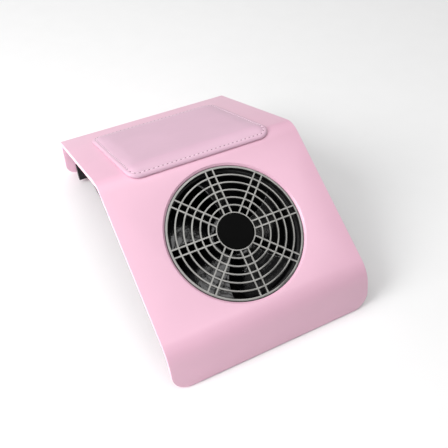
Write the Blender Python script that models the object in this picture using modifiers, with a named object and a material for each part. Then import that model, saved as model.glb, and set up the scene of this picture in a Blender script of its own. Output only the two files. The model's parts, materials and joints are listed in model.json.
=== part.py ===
"""Desktop nail dust collector.

A wide plate is bent into a tent: a rear slope that carries the palm pad, a ridge, a fan slope with a round
opening, and a lip down to the table at each end.  Its sides are open.  Under it hangs a black fan box with an
axial fan, a filter cassette that slides out sideways behind the box, and the controls on the box's right wall.

Frame: X is the width, +Y points to the rear lip, +Z is up.  The origin is at the middle of the footprint, on
the table.
"""
import math

import bmesh
import bpy
from mathutils import Matrix, Vector

MM = 0.001
GAP = 0.3 * MM

# Driving dimensions of the shell
SHELL_WIDTH = 190.0 * MM
SHELL_THICKNESS = 5.0 * MM
LIP_CLEARANCE = 1.5 * MM
REAR_SLOPE_LENGTH = 157.0 * MM
REAR_SLOPE_TILT = math.radians(21.5)
FAN_SLOPE_LENGTH = 154.0 * MM
FAN_SLOPE_TILT = math.radians(28.0)
FRONT_LIP_LENGTH = 37.5 * MM
FRONT_LIP_LEAN = math.radians(14.5)
REAR_LIP_LEAN = math.radians(12.0)
RIDGE_RADIUS = 22.0 * MM
FRONT_RADIUS = 28.0 * MM
REAR_RADIUS = 2.5 * MM
LIP_CORNER_RADIUS = 15.0 * MM
EDGE_ROUNDING = 0.8 * MM

# Palm pad
PAD_WIDTH = 139.0 * MM
PAD_REAR_MARGIN = 28.5 * MM
PAD_OVERHANG = 8.5 * MM
PAD_CORNER_RADIUS = 12.0 * MM
PAD_HEIGHT = 4.3 * MM
PAD_BOARD_HEIGHT = 1.8 * MM
PAD_SKIRT = 3.0 * MM

# Round opening and finger guard, measured from the outer face of the fan slope
OPENING_RADIUS = 61.0 * MM
OPENING_CHAMFER = 1.8 * MM
OPENING_CENTRE = 78.0 * MM
GUARD_TOP = -1.5 * MM
GUARD_DEPTH = 2.5 * MM
GUARD_RADIUS = 60.3 * MM
GUARD_RIM = 1.8 * MM
GUARD_RIB = 1.3 * MM
GUARD_RINGS = 5
GUARD_HUB_RADIUS = 17.4 * MM
GUARD_SPOKES = 8
GUARD_SPOKE_OFFSET = 3.45 * MM
FLANGE_SIDE = 119.0 * MM
FLANGE_CORNER = 6.0 * MM
FLANGE_TOP = -SHELL_THICKNESS - GAP
FLANGE_THICKNESS = 2.0 * MM

# Axial fan, same datum
GASKET_TOP = FLANGE_TOP - FLANGE_THICKNESS - GAP
GASKET_THICKNESS = 1.5 * MM
FAN_TOP = GASKET_TOP - GASKET_THICKNESS - GAP
FAN_DEPTH = 32.0 * MM
FAN_BOTTOM = FAN_TOP - FAN_DEPTH
FAN_SIDE = 120.0 * MM
FAN_BORE = 57.5 * MM
FAN_FLANGE = 4.0 * MM
FAN_SCREW_PITCH = 105.0 * MM
BLADE_COUNT = 5
BLADE_WRAP = math.radians(62.0)
BLADE_WRAP_LOSS = math.radians(8.0)
BLADE_SWEEP = math.radians(14.0)
BLADE_REST_ANGLE = math.radians(-37.0)
BLADE_TIP = 56.3 * MM
ROTOR_RADIUS = 20.5 * MM
ROTOR_WALL = 1.8 * MM
ROTOR_TOP = FAN_TOP - 3.0 * MM
ROTOR_BOTTOM = FAN_BOTTOM + 5.5 * MM
MOTOR_PLATE = 3.0 * MM
SHAFT_RADIUS = 1.5 * MM
BEARING_RADIUS = 4.0 * MM
BEARING_HEIGHT = 4.0 * MM

# Fan box
BOX_WIDTH = 150.0 * MM
BOX_WALL = 2.5 * MM
BOX_FRONT = -128.0 * MM
BOX_REAR = 123.7 * MM
COVER_BOTTOM = 2.3 * MM
COVER_THICKNESS = 2.5 * MM
BOX_BOTTOM = COVER_BOTTOM + COVER_THICKNESS + GAP
FOOT_RADIUS = 7.0 * MM
FOOT_HEIGHT = COVER_BOTTOM - GAP

# Filter cassette behind the box
CASSETTE_FRONT = 128.5 * MM
CASSETTE_THICKNESS = 5.0 * MM
CASSETTE_BOTTOM = 4.1 * MM
CASSETTE_TOP = 46.5 * MM
CASSETTE_SHOULDER = 23.4 * MM
CASSETTE_WIDTH = 173.0 * MM

# Controls on the right wall of the box
SWITCH_Y = 34.0 * MM
SPEED_Y = 64.0 * MM
JACK_Y = 94.0 * MM
CONTROL_Z = 32.0 * MM
ROCKER_TILT = math.radians(10.0)
NUT_HEIGHT = 2.0 * MM

LARGE_STEPS = 48
ROUND_STEPS = 32
SMALL_STEPS = 16
SCREW_STEPS = 10

scene = bpy.context.scene
for leftover in list(bpy.data.objects):
    bpy.data.objects.remove(leftover, do_unlink=True)

parts = bpy.data.collections.new("nail_dust_collector")
cutters = bpy.data.collections.new("cutters")
scene.collection.children.link(parts)
scene.collection.children.link(cutters)


# ---------------------------------------------------------------- materials
def material(name, colour, roughness, metallic=0.0):
    """A Principled material, made once and shared by the pieces that have the same finish."""
    if name in bpy.data.materials:
        return bpy.data.materials[name]
    made = bpy.data.materials.new(name)
    made.use_nodes = True
    shader = made.node_tree.nodes["Principled BSDF"]
    shader.inputs["Base Color"].default_value = (*colour, 1.0)
    shader.inputs["Roughness"].default_value = roughness
    shader.inputs["Metallic"].default_value = metallic
    made.diffuse_color = (*colour, 1.0)
    return made


PINK_PLASTIC = material("pink_plastic", (0.90, 0.55, 0.68), 0.35)
PINK_LEATHER = material("pink_leather", (0.78, 0.52, 0.62), 0.55)
BOARD_PLASTIC = material("board_plastic", (0.30, 0.28, 0.28), 0.8)
GUARD_METAL = material("guard_metal", (0.55, 0.54, 0.52), 0.3, 0.8)
BLACK_GLOSS = material("black_gloss", (0.01, 0.01, 0.012), 0.2)
BLACK_PLASTIC = material("black_plastic", (0.02, 0.02, 0.022), 0.45)
BLACK_RUBBER = material("black_rubber", (0.03, 0.03, 0.03), 0.85)
BLACK_FOAM = material("black_foam", (0.05, 0.05, 0.05), 0.95)
STEEL = material("steel", (0.56, 0.57, 0.58), 0.3, 1.0)
DARK_STEEL = material("dark_steel", (0.16, 0.16, 0.17), 0.4, 1.0)
COPPER = material("copper", (0.72, 0.33, 0.16), 0.3, 1.0)
BRASS = material("brass", (0.72, 0.55, 0.26), 0.3, 1.0)
CIRCUIT_GREEN = material("circuit_green", (0.03, 0.20, 0.08), 0.4)
TERMINAL_GREEN = material("terminal_green", (0.05, 0.36, 0.16), 0.45)
FILTER_WHITE = material("filter_white", (0.80, 0.80, 0.78), 0.95)
RED_PLASTIC = material("red_plastic", (0.55, 0.02, 0.02), 0.35)
RED_LEAD = material("red_lead", (0.50, 0.03, 0.03), 0.5)
ALUMINIUM = material("aluminium", (0.75, 0.76, 0.77), 0.35, 1.0)


# ---------------------------------------------------------------- scene helpers
def empty(name, location, rotation=(0.0, 0.0, 0.0)):
    """An axis or datum that pieces are placed from."""
    made = bpy.data.objects.new(name, None)
    made.location = location
    made.rotation_euler = rotation
    parts.objects.link(made)
    return made


def place(name, mesh, finish, parent=None, location=(0.0, 0.0, 0.0), rotation=(0.0, 0.0, 0.0)):
    """Link a mesh as a piece, or as a hidden cutter when it has no finish."""
    made = bpy.data.objects.new(name, mesh)
    made.location = location
    made.rotation_euler = rotation
    made.parent = parent
    if finish is None:
        cutters.objects.link(made)
        made.hide_render = True
        made.display_type = "WIRE"
    else:
        parts.objects.link(made)
        mesh.materials.append(finish)
    return made


def boolean(piece, operation, *tools):
    """Cut a piece with each tool, or join or intersect it with them."""
    for tool in tools:
        step = piece.modifiers.new(operation.lower(), "BOOLEAN")
        step.operation = operation
        step.object = tool
    return piece


def cut(piece, *tools):
    return boolean(piece, "DIFFERENCE", *tools)


def join(piece, *tools):
    return boolean(piece, "UNION", *tools)


def keep(piece, *tools):
    return boolean(piece, "INTERSECT", *tools)


def round_edges(piece, width, segments=1, angle=math.radians(40.0)):
    """Round the edges that are sharper than the angle."""
    step = piece.modifiers.new("edge_rounding", "BEVEL")
    step.width = width
    step.segments = segments
    step.limit_method = "ANGLE"
    step.angle_limit = angle
    return piece


# ---------------------------------------------------------------- shape helpers
def box(name, low, high, finish=None, parent=None):
    """A box between two corners."""
    mesh = bpy.data.meshes.new(name)
    builder = bmesh.new()
    bmesh.ops.create_cube(builder, size=1.0)
    size = Vector(high) - Vector(low)
    middle = (Vector(high) + Vector(low)) / 2.0
    bmesh.ops.scale(builder, vec=size, verts=builder.verts)
    bmesh.ops.translate(builder, vec=middle, verts=builder.verts)
    builder.to_mesh(mesh)
    builder.free()
    return place(name, mesh, finish, parent)


def turned(name, profile, finish=None, parent=None, location=(0.0, 0.0, 0.0), rotation=(0.0, 0.0, 0.0),
           steps=ROUND_STEPS, ring=False):
    """Turn a profile of (radius, height) pairs, top to bottom on its outer side, round its own Z axis."""
    mesh = bpy.data.meshes.new(name)
    edges = [(i, i + 1) for i in range(len(profile) - 1)]
    if ring:
        edges.append((len(profile) - 1, 0))
    mesh.from_pydata([(radius, 0.0, height) for radius, height in profile], edges, [])
    piece = place(name, mesh, finish, parent, location, rotation)
    screw = piece.modifiers.new("turn", "SCREW")
    screw.axis = "Z"
    screw.steps = steps
    screw.render_steps = steps
    screw.use_merge_vertices = True
    screw.merge_threshold = 0.00001
    screw.use_smooth_shade = True
    return piece


def cylinder(name, radius, bottom, top, finish=None, parent=None, location=(0.0, 0.0, 0.0),
             rotation=(0.0, 0.0, 0.0), steps=SMALL_STEPS):
    profile = [(0.0, top), (radius, top), (radius, bottom), (0.0, bottom)]
    return turned(name, profile, finish, parent, location, rotation, steps)


def tube(name, inner, outer, bottom, top, finish=None, parent=None, location=(0.0, 0.0, 0.0),
         rotation=(0.0, 0.0, 0.0), steps=SMALL_STEPS):
    profile = [(outer, top), (outer, bottom), (inner, bottom), (inner, top)]
    return turned(name, profile, finish, parent, location, rotation, steps, ring=True)


def evaluated_mesh(carrier, name):
    """The mesh that a curve object makes, with its caps welded on; the curve is removed."""
    bpy.context.view_layer.update()
    graph = bpy.context.evaluated_depsgraph_get()
    mesh = bpy.data.meshes.new_from_object(carrier.evaluated_get(graph))
    mesh.name = name
    builder = bmesh.new()
    builder.from_mesh(mesh)
    bmesh.ops.remove_doubles(builder, verts=builder.verts, dist=0.000002)
    bmesh.ops.recalc_face_normals(builder, faces=builder.faces)
    builder.to_mesh(mesh)
    builder.free()
    bpy.data.objects.remove(carrier, do_unlink=True)
    return mesh


def plate(name, loops, low, high, finish=None, parent=None, turn=Matrix.Identity(4)):
    """A flat outline with its holes, given thickness from low to high along its own Z, then turned."""
    curve = bpy.data.curves.new(name, "CURVE")
    curve.dimensions = "2D"
    curve.fill_mode = "BOTH"
    curve.extrude = (high - low) / 2.0
    for loop in loops:
        spline = curve.splines.new("POLY")
        spline.points.add(len(loop) - 1)
        spline.use_cyclic_u = True
        for point, (across, along) in zip(spline.points, loop):
            point.co = (across, along, 0.0, 1.0)
    carrier = bpy.data.objects.new(name, curve)
    scene.collection.objects.link(carrier)
    mesh = evaluated_mesh(carrier, name)
    mesh.transform(turn @ Matrix.Translation((0.0, 0.0, (high + low) / 2.0)))
    return place(name, mesh, finish, parent)


# A plate's outline drawn in (Y, Z) and thickened along X, and one drawn in (X, Z) and thickened along -Y
SIDEWAYS = Matrix(((0, 0, 1, 0), (1, 0, 0, 0), (0, 1, 0, 0), (0, 0, 0, 1)))
UPRIGHT = Matrix(((1, 0, 0, 0), (0, 0, -1, 0), (0, 1, 0, 0), (0, 0, 0, 1)))


def arc(centre, radius, start, end, steps):
    """Points on an arc, both ends included."""
    angles = [start + (end - start) * i / steps for i in range(steps + 1)]
    return [(centre[0] + radius * math.cos(a), centre[1] + radius * math.sin(a)) for a in angles]


def circle(radius, steps, centre=(0.0, 0.0)):
    return arc(centre, radius, 0.0, math.tau * (steps - 1) / steps, steps - 1)


def rounded_rectangle(low, high, radius, steps=5):
    """A rectangle's outline with its four corners rounded."""
    outline = []
    corners = ((high[0], high[1]), (low[0], high[1]), (low[0], low[1]), (high[0], low[1]))
    for quarter, (x, y) in enumerate(corners):
        inward_x = -radius if x == high[0] else radius
        inward_y = -radius if y == high[1] else radius
        start = quarter * math.pi / 2.0
        outline += arc((x + inward_x, y + inward_y), radius, start, start + math.pi / 2.0, steps)
    return outline


# ---------------------------------------------------------------- the bent section
def shell_corners():
    """Sharp corners of the outer face in (Y, Z), from the front lip's foot to the rear lip's foot."""
    front_foot = Vector((0.0, LIP_CLEARANCE))
    front_bend = front_foot + FRONT_LIP_LENGTH * Vector((math.sin(FRONT_LIP_LEAN), math.cos(FRONT_LIP_LEAN)))
    ridge = front_bend + FAN_SLOPE_LENGTH * Vector((math.cos(FAN_SLOPE_TILT), math.sin(FAN_SLOPE_TILT)))
    rear_edge = ridge + REAR_SLOPE_LENGTH * Vector((math.cos(REAR_SLOPE_TILT), -math.sin(REAR_SLOPE_TILT)))
    drop = rear_edge.y - LIP_CLEARANCE
    rear_foot = rear_edge + Vector((drop * math.tan(REAR_LIP_LEAN), -drop))
    centre = Vector(((front_foot.x + rear_foot.x) / 2.0, 0.0))
    return [corner - centre for corner in (front_foot, front_bend, ridge, rear_edge, rear_foot)]


CORNERS = shell_corners()
RIDGE = CORNERS[2]
REAR_EDGE = CORNERS[3]


def offset_corners(corners, distance):
    """Shift every straight of the section outwards by the distance, with mitred corners."""
    directions = [(b - a).normalized() for a, b in zip(corners, corners[1:])]
    outward = [Vector((-d.y, d.x)) for d in directions]
    shifted = [corners[0] + outward[0] * distance]
    for i in range(1, len(corners) - 1):
        bisector = (outward[i - 1] + outward[i]).normalized()
        shifted.append(corners[i] + bisector * (distance / bisector.dot(outward[i])))
    shifted.append(corners[-1] + outward[-1] * distance)
    return shifted


def bend(before, corner, after, radius, steps):
    """The arc that rounds one corner of the section."""
    back = (before - corner).normalized()
    ahead = (after - corner).normalized()
    half = back.angle(ahead) / 2.0
    centre = corner + (back + ahead).normalized() * (radius / math.sin(half))
    first = corner + back * (radius / math.tan(half)) - centre
    sweep = math.pi - 2.0 * half
    start = math.atan2(first.y, first.x)
    return arc(centre, radius, start, start - sweep, steps)


def section_line(distance):
    """The rounded section at a distance outwards from the outer face, front foot to rear foot."""
    corners = offset_corners(CORNERS, distance)
    line = [tuple(corners[0])]
    for i, radius, steps in ((1, FRONT_RADIUS, 8), (2, RIDGE_RADIUS, 8), (3, REAR_RADIUS, 4)):
        line += bend(corners[i - 1], corners[i], corners[i + 1], max(radius + distance, MM), steps)
    return line + [tuple(corners[-1])]


def section_band(inner, outer, reach=0.0):
    """The outline between two offsets of the section; reach carries its feet further down."""
    line = section_line(outer)
    back = section_line(inner)[::-1]
    for points in (line, back):
        for end, neighbour in ((0, 1), (-1, -2)):
            foot = Vector(points[end])
            points[end] = tuple(foot + (foot - Vector(points[neighbour])).normalized() * reach)
    return line + back


def underside(y, depth):
    """Height of the section at a depth below the outer face, on either straight slope."""
    if y > RIDGE.x:
        return RIDGE.y - (y - RIDGE.x) * math.tan(REAR_SLOPE_TILT) - depth / math.cos(REAR_SLOPE_TILT)
    return RIDGE.y - (RIDGE.x - y) * math.tan(FAN_SLOPE_TILT) - depth / math.cos(FAN_SLOPE_TILT)


down_slope = Vector((-math.cos(FAN_SLOPE_TILT), -math.sin(FAN_SLOPE_TILT)))
fan_centre = RIDGE + down_slope * OPENING_CENTRE
fan_axis = empty("fan_axis", (0.0, fan_centre.x, fan_centre.y), (FAN_SLOPE_TILT, 0.0, 0.0))

SCREW_SPOTS = [(x * FAN_SCREW_PITCH / 2.0, y * FAN_SCREW_PITCH / 2.0) for x in (-1, 1) for y in (-1, 1)]
POST_INSET = 3.8 * MM
POST_X = BOX_WIDTH / 2.0 - BOX_WALL - POST_INSET
BOSS_X = POST_X - 1.2 * MM
BOSS_SPOTS = [(side * BOSS_X, y) for side in (-1, 1) for y in (-100.0 * MM, 104.0 * MM)]
BOSS_FOOT = {-100.0 * MM: 36.0 * MM, 104.0 * MM: 42.0 * MM}
POST_ROWS = (BOX_FRONT + BOX_WALL + POST_INSET, BOX_REAR - BOX_WALL - POST_INSET)
POST_SPOTS = [(side * POST_X, y) for side in (-1, 1) for y in POST_ROWS]


# ---------------------------------------------------------------- shell and pad
def make_shell():
    half = SHELL_WIDTH / 2.0
    band = section_band(-SHELL_THICKNESS, 0.0, reach=6.0 * MM)
    shell = plate("shell", [band], -half, half, PINK_PLASTIC, turn=SIDEWAYS)
    tall = 200.0 * MM
    silhouette = arc((-half + LIP_CORNER_RADIUS, LIP_CLEARANCE + LIP_CORNER_RADIUS), LIP_CORNER_RADIUS,
                     math.pi, 1.5 * math.pi, 6)
    silhouette += arc((half - LIP_CORNER_RADIUS, LIP_CLEARANCE + LIP_CORNER_RADIUS), LIP_CORNER_RADIUS,
                      1.5 * math.pi, 2.0 * math.pi, 6)
    silhouette += [(half, tall), (-half, tall)]
    keep(shell, plate("shell_silhouette", [silhouette], -tall, tall, turn=UPRIGHT))
    rim = OPENING_RADIUS + OPENING_CHAMFER
    opening = [(0.0, 3.0 * MM), (rim + 3.0 * MM, 3.0 * MM), (OPENING_RADIUS, -OPENING_CHAMFER),
               (OPENING_RADIUS, -8.0 * MM), (0.0, -8.0 * MM)]
    cut(shell, turned("shell_opening", opening, parent=fan_axis, steps=60))
    round_edges(shell, EDGE_ROUNDING)
    for number, (x, y) in enumerate(SCREW_SPOTS, 1):
        cut(shell, cylinder(f"shell_thread_{number}", 2.3 * MM, -7.0 * MM, GUARD_TOP, parent=fan_axis,
                            location=(x, y, 0.0)))
    for number, (x, y) in enumerate(BOSS_SPOTS, 1):
        foot = BOSS_FOOT[y]
        head = underside(y, SHELL_THICKNESS) + 2.9 * MM
        join(shell, cylinder(f"shell_boss_{number}", 3.6 * MM, foot, head, location=(x, y, 0.0)))
        cut(shell, cylinder(f"shell_boss_hole_{number}", 1.8 * MM, foot - MM, foot + 6.5 * MM,
                            location=(x, y, 0.0)))
    return shell


def pad_block(name, low, high, inset, finish=None):
    """A layer of the pad: a band of the section, kept inside the pad's rounded outline."""
    half = PAD_WIDTH / 2.0 - inset
    front = RIDGE.x - PAD_OVERHANG * math.cos(FAN_SLOPE_TILT) + inset
    rear = REAR_EDGE.x - PAD_REAR_MARGIN * math.cos(REAR_SLOPE_TILT) - inset
    layer = plate(name, [section_band(low, high)], -PAD_WIDTH, PAD_WIDTH, finish, turn=SIDEWAYS)
    outline = rounded_rectangle((-half, front), (half, rear), PAD_CORNER_RADIUS - inset)
    keep(layer, plate(name + "_outline", [outline], REAR_EDGE.y, RIDGE.y + 20.0 * MM))
    return layer


def make_pad():
    pad = pad_block("palm_pad", GAP, PAD_HEIGHT, 0.0, PINK_LEATHER)
    cut(pad, pad_block("palm_pad_pocket", -2.0 * MM, PAD_BOARD_HEIGHT + GAP, PAD_SKIRT))
    pad_block("pad_board", GAP, PAD_BOARD_HEIGHT, PAD_SKIRT + GAP, BOARD_PLASTIC)


# ---------------------------------------------------------------- finger guard
def line_angle(offset, radius):
    """Angle between a spoke's axis and the point where a parallel line at the offset meets the radius."""
    return math.asin(offset / radius)


def guard_openings():
    """Outlines of the guard's air gaps: wide ones between the spoke pairs, narrow ones inside each pair.

    The pairs lie half a pitch off the X axis here, and the caller turns them back.
    """
    outer = GUARD_RADIUS - GUARD_RIM
    pitch = (outer - GUARD_HUB_RADIUS + GUARD_RIB) / (GUARD_RINGS + 1)
    wide = GUARD_SPOKE_OFFSET + GUARD_RIB / 2.0
    narrow = GUARD_SPOKE_OFFSET - GUARD_RIB / 2.0
    turn = math.tau / GUARD_SPOKES
    gaps = []
    for ring in range(GUARD_RINGS + 1):
        steps = 4 if ring > 2 else 3
        inner_radius = GUARD_HUB_RADIUS + ring * pitch
        outer_radius = inner_radius + pitch - GUARD_RIB
        for spoke in range(GUARD_SPOKES):
            axis = turn * (spoke + 0.5)
            next_axis = axis + turn
            gap = arc((0.0, 0.0), outer_radius, axis + line_angle(wide, outer_radius),
                      next_axis - line_angle(wide, outer_radius), steps)
            gap += arc((0.0, 0.0), inner_radius, next_axis - line_angle(wide, inner_radius),
                       axis + line_angle(wide, inner_radius), steps)
            gaps.append(gap)
            slot = arc((0.0, 0.0), outer_radius, axis - line_angle(narrow, outer_radius),
                       axis + line_angle(narrow, outer_radius), 1)
            slot += arc((0.0, 0.0), inner_radius, axis + line_angle(narrow, inner_radius),
                        axis - line_angle(narrow, inner_radius), 1)
            gaps.append(slot)
    return gaps


def flange_loops(bore, hole):
    """A rounded square with a round bore and a hole at each fan screw."""
    half = FLANGE_SIDE / 2.0
    loops = [rounded_rectangle((-half, -half), (half, half), FLANGE_CORNER, 3), circle(bore, 40)]
    return loops + [circle(hole, SCREW_STEPS, spot) for spot in SCREW_SPOTS]


def make_guard():
    outline = [circle(GUARD_RADIUS, LARGE_STEPS)] + guard_openings()
    half_pitch = Matrix.Rotation(math.pi / GUARD_SPOKES, 4, "Z")
    guard = plate("finger_guard", outline, GUARD_TOP - GUARD_DEPTH, GUARD_TOP, GUARD_METAL, fan_axis, half_pitch)
    bore = GUARD_RADIUS - GUARD_RIM
    flange_bottom = FLANGE_TOP - FLANGE_THICKNESS
    collar = tube("guard_collar", bore + 0.2 * MM, GUARD_RADIUS - 0.2 * MM, flange_bottom, GUARD_TOP - MM,
                  parent=fan_axis, steps=LARGE_STEPS)
    flange = plate("guard_flange", flange_loops(bore + 0.5 * MM, 2.4 * MM), flange_bottom + 0.1 * MM, FLANGE_TOP,
                   parent=fan_axis)
    join(guard, collar, flange)
    recess = cylinder("guard_recess", GUARD_HUB_RADIUS - 0.9 * MM, GUARD_TOP - 1.2 * MM, MM,
                      parent=fan_axis, steps=ROUND_STEPS)
    cut(guard, recess)
    cap_radius = GUARD_HUB_RADIUS - 0.9 * MM - GAP
    cap_bottom = GUARD_TOP - 1.2 * MM + GAP
    cap = [(0.0, GUARD_TOP + 0.5 * MM), (cap_radius - 0.6 * MM, GUARD_TOP + 0.5 * MM),
           (cap_radius, GUARD_TOP - 0.1 * MM), (cap_radius, cap_bottom), (0.0, cap_bottom)]
    turned("guard_hub_cap", cap, BLACK_GLOSS, fan_axis)
    plate("fan_gasket", flange_loops(bore, 2.4 * MM), GASKET_TOP - GASKET_THICKNESS, GASKET_TOP, BLACK_FOAM,
          fan_axis)


# ---------------------------------------------------------------- axial fan
def fan_flange_loops():
    half = FAN_SIDE / 2.0
    loops = [rounded_rectangle((-half, -half), (half, half), FLANGE_CORNER, 3), circle(FAN_BORE + MM, 40)]
    return loops + [circle(2.5 * MM, SCREW_STEPS, spot) for spot in SCREW_SPOTS]


def make_fan_frame():
    frame = plate("fan_frame", fan_flange_loops(), FAN_TOP - FAN_FLANGE, FAN_TOP, BLACK_PLASTIC, fan_axis)
    rear_flange = plate("fan_rear_flange", fan_flange_loops(), FAN_BOTTOM, FAN_BOTTOM + FAN_FLANGE,
                        parent=fan_axis)
    skin = 0.1 * MM
    barrel = tube("fan_barrel", FAN_BORE, FAN_SIDE / 2.0 - 0.2 * MM, FAN_BOTTOM + skin, FAN_TOP - skin,
                  parent=fan_axis, steps=40)
    join(frame, rear_flange, barrel)
    plate_top = FAN_BOTTOM + MOTOR_PLATE
    seat = ROTOR_TOP - 6.0 * MM
    bore = BEARING_RADIUS + GAP
    floor = FAN_BOTTOM + 1.2 * MM
    tower = [(0.0, floor), (bore, floor), (bore, seat), (bore + 1.5 * MM, seat), (bore + 1.5 * MM, plate_top),
             (22.0 * MM, plate_top), (22.0 * MM, FAN_BOTTOM), (0.0, FAN_BOTTOM)]
    struts = []
    for number in range(4):
        angle = math.radians(45.0 + 90.0 * number)
        arm = box(f"fan_strut_{number + 1}", (20.0 * MM, -2.0 * MM, FAN_BOTTOM + 2.0 * skin),
                  (FAN_BORE + MM, 2.0 * MM, plate_top - skin), parent=fan_axis)
        arm.rotation_euler = (0.0, 0.0, angle)
        struts.append(arm)
    join(frame, *struts)
    join(frame, turned("fan_motor_tower", tower, parent=fan_axis))
    return frame


def blade_mesh(name):
    """One blade: a grid in radius and chord, wound round the hub and given thickness by the caller."""
    root = ROTOR_RADIUS - 0.9 * MM
    chord_steps = 6
    radius_steps = 4
    bottom = ROTOR_BOTTOM + 1.0 * MM
    rise = ROTOR_TOP - 1.0 * MM - bottom
    builder = bmesh.new()
    bmesh.ops.create_grid(builder, x_segments=radius_steps, y_segments=chord_steps, size=0.5)
    for vertex in builder.verts:
        outward = vertex.co.x + 0.5
        along = vertex.co.y + 0.5
        radius = root + (BLADE_TIP - root) * outward
        wrap = BLADE_WRAP - BLADE_WRAP_LOSS * outward
        sweep = BLADE_SWEEP * outward * outward
        height = bottom + rise * (along + 0.12 * math.sin(math.pi * along)) / 1.02
        angle = wrap * along + sweep
        vertex.co = (radius * math.cos(angle), radius * math.sin(angle), height)
    mesh = bpy.data.meshes.new(name)
    builder.to_mesh(mesh)
    builder.free()
    return mesh


def make_rotor():
    cup = [(0.0, ROTOR_TOP), (ROTOR_RADIUS - 1.5 * MM, ROTOR_TOP), (ROTOR_RADIUS, ROTOR_TOP - 1.5 * MM),
           (ROTOR_RADIUS, ROTOR_BOTTOM), (ROTOR_RADIUS - ROTOR_WALL, ROTOR_BOTTOM),
           (ROTOR_RADIUS - ROTOR_WALL, ROTOR_TOP - 2.0 * MM), (4.0 * MM, ROTOR_TOP - 2.0 * MM),
           (4.0 * MM, ROTOR_TOP - 4.5 * MM), (SHAFT_RADIUS + GAP, ROTOR_TOP - 4.5 * MM),
           (SHAFT_RADIUS + GAP, ROTOR_TOP - 1.0 * MM), (0.0, ROTOR_TOP - 1.0 * MM)]
    rotor = turned("fan_rotor", cup, BLACK_GLOSS, fan_axis)
    for number in range(BLADE_COUNT):
        blade = place(f"fan_blade_{number + 1}", blade_mesh(f"fan_blade_{number + 1}"), None, fan_axis,
                      rotation=(0.0, 0.0, BLADE_REST_ANGLE + math.tau * number / BLADE_COUNT))
        skin = blade.modifiers.new("thickness", "SOLIDIFY")
        skin.thickness = 1.5 * MM
        skin.offset = 0.0
        join(rotor, blade)
    shaft_bottom = FAN_BOTTOM + 2.2 * MM
    cylinder("fan_shaft", SHAFT_RADIUS, shaft_bottom, ROTOR_TOP - 1.0 * MM - GAP, STEEL, fan_axis)
    inner = ROTOR_RADIUS - ROTOR_WALL - GAP
    tube("rotor_magnet", inner - 2.2 * MM, inner, ROTOR_BOTTOM + MM, ROTOR_TOP - 5.0 * MM, DARK_STEEL,
         fan_axis, steps=ROUND_STEPS)
    bearing_tops = {"bearing_upper": ROTOR_TOP - 6.5 * MM, "bearing_lower": FAN_BOTTOM + 9.0 * MM}
    for name, top in bearing_tops.items():
        tube(name, SHAFT_RADIUS + GAP, BEARING_RADIUS, top - BEARING_HEIGHT, top, STEEL, fan_axis)
    clip_top = bearing_tops["bearing_lower"] - BEARING_HEIGHT - 0.6 * MM
    tube("shaft_clip", SHAFT_RADIUS + GAP, 3.2 * MM, clip_top - 0.8 * MM, clip_top, DARK_STEEL, fan_axis)


def make_stator():
    """Four-pole stator, with a coil on each neck."""
    core_radius = 15.6 * MM
    tip = 13.4 * MM
    neck = 2.5 * MM
    ring = 9.0 * MM
    reach = math.radians(33.0)
    top = ROTOR_TOP - 9.0 * MM
    bottom = ROTOR_BOTTOM + 4.0 * MM
    poles = 4
    outline = []
    for pole in range(poles):
        axis = math.tau * pole / poles
        outline += arc((0.0, 0.0), ring, axis - line_angle(neck, ring), axis - line_angle(neck, ring), 1)[:1]
        outline += arc((0.0, 0.0), tip, axis - line_angle(neck, tip), axis - reach, 2)
        outline += arc((0.0, 0.0), core_radius, axis - reach, axis + reach, 6)
        outline += arc((0.0, 0.0), tip, axis + reach, axis + line_angle(neck, tip), 2)
        outline += arc((0.0, 0.0), ring, axis + line_angle(neck, ring),
                       axis + math.tau / poles - line_angle(neck, ring), 3)[:-1]
    bore = BEARING_RADIUS + 2.1 * MM
    plate("stator_core", [outline, circle(bore, SMALL_STEPS)], bottom, top, DARK_STEEL, fan_axis)
    half_height = (top - bottom) / 2.0
    window = (neck + GAP, half_height + GAP)
    outer = (neck + 2.0 * MM, half_height + 2.0 * MM)
    loops = [rounded_rectangle((-outer[0], -outer[1]), outer, 1.5 * MM, 2),
             rounded_rectangle((-window[0], -window[1]), window, 0.2 * MM, 1)]
    middle = Matrix.Translation((0.0, 0.0, (top + bottom) / 2.0))
    for pole in range(poles):
        turn = middle @ Matrix.Rotation(math.tau * pole / poles, 4, "Z") @ SIDEWAYS
        plate(f"stator_coil_{pole + 1}", loops, ring + 0.4 * MM, tip - 1.2 * MM, COPPER, fan_axis, turn)
    tube("fan_circuit_board", bore, 16.6 * MM, FAN_BOTTOM + 3.6 * MM, FAN_BOTTOM + 4.8 * MM, CIRCUIT_GREEN,
         fan_axis, steps=24)


def pan_screw(name, location, length, shank, finish, parent=None):
    """A pan-head screw standing on its head, shank up, at the face that its head touches."""
    head = shank * 1.85
    height = shank * 1.2
    groove = shank * 0.45
    profile = [(0.0, length), (shank * 0.7, length), (shank, length - shank * 0.4), (shank, -GAP),
               (head, -GAP), (head, -height * 0.6), (head * 0.75, -height), (groove, -height),
               (groove, -height * 0.5), (0.0, -height * 0.5)]
    return turned(name, profile, finish, parent, location, steps=SCREW_STEPS)


def make_fan_screws():
    tip = GUARD_TOP - GAP
    for number, (x, y) in enumerate(SCREW_SPOTS, 1):
        pan_screw(f"fan_screw_{number}", (x, y, FAN_BOTTOM), tip - FAN_BOTTOM, 2.0 * MM, STEEL, fan_axis)


# ---------------------------------------------------------------- fan box and cover
EXHAUST_HALF = 56.0 * MM
EXHAUST_LOW = 9.5 * MM
EXHAUST_HIGH = 41.0 * MM


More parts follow.
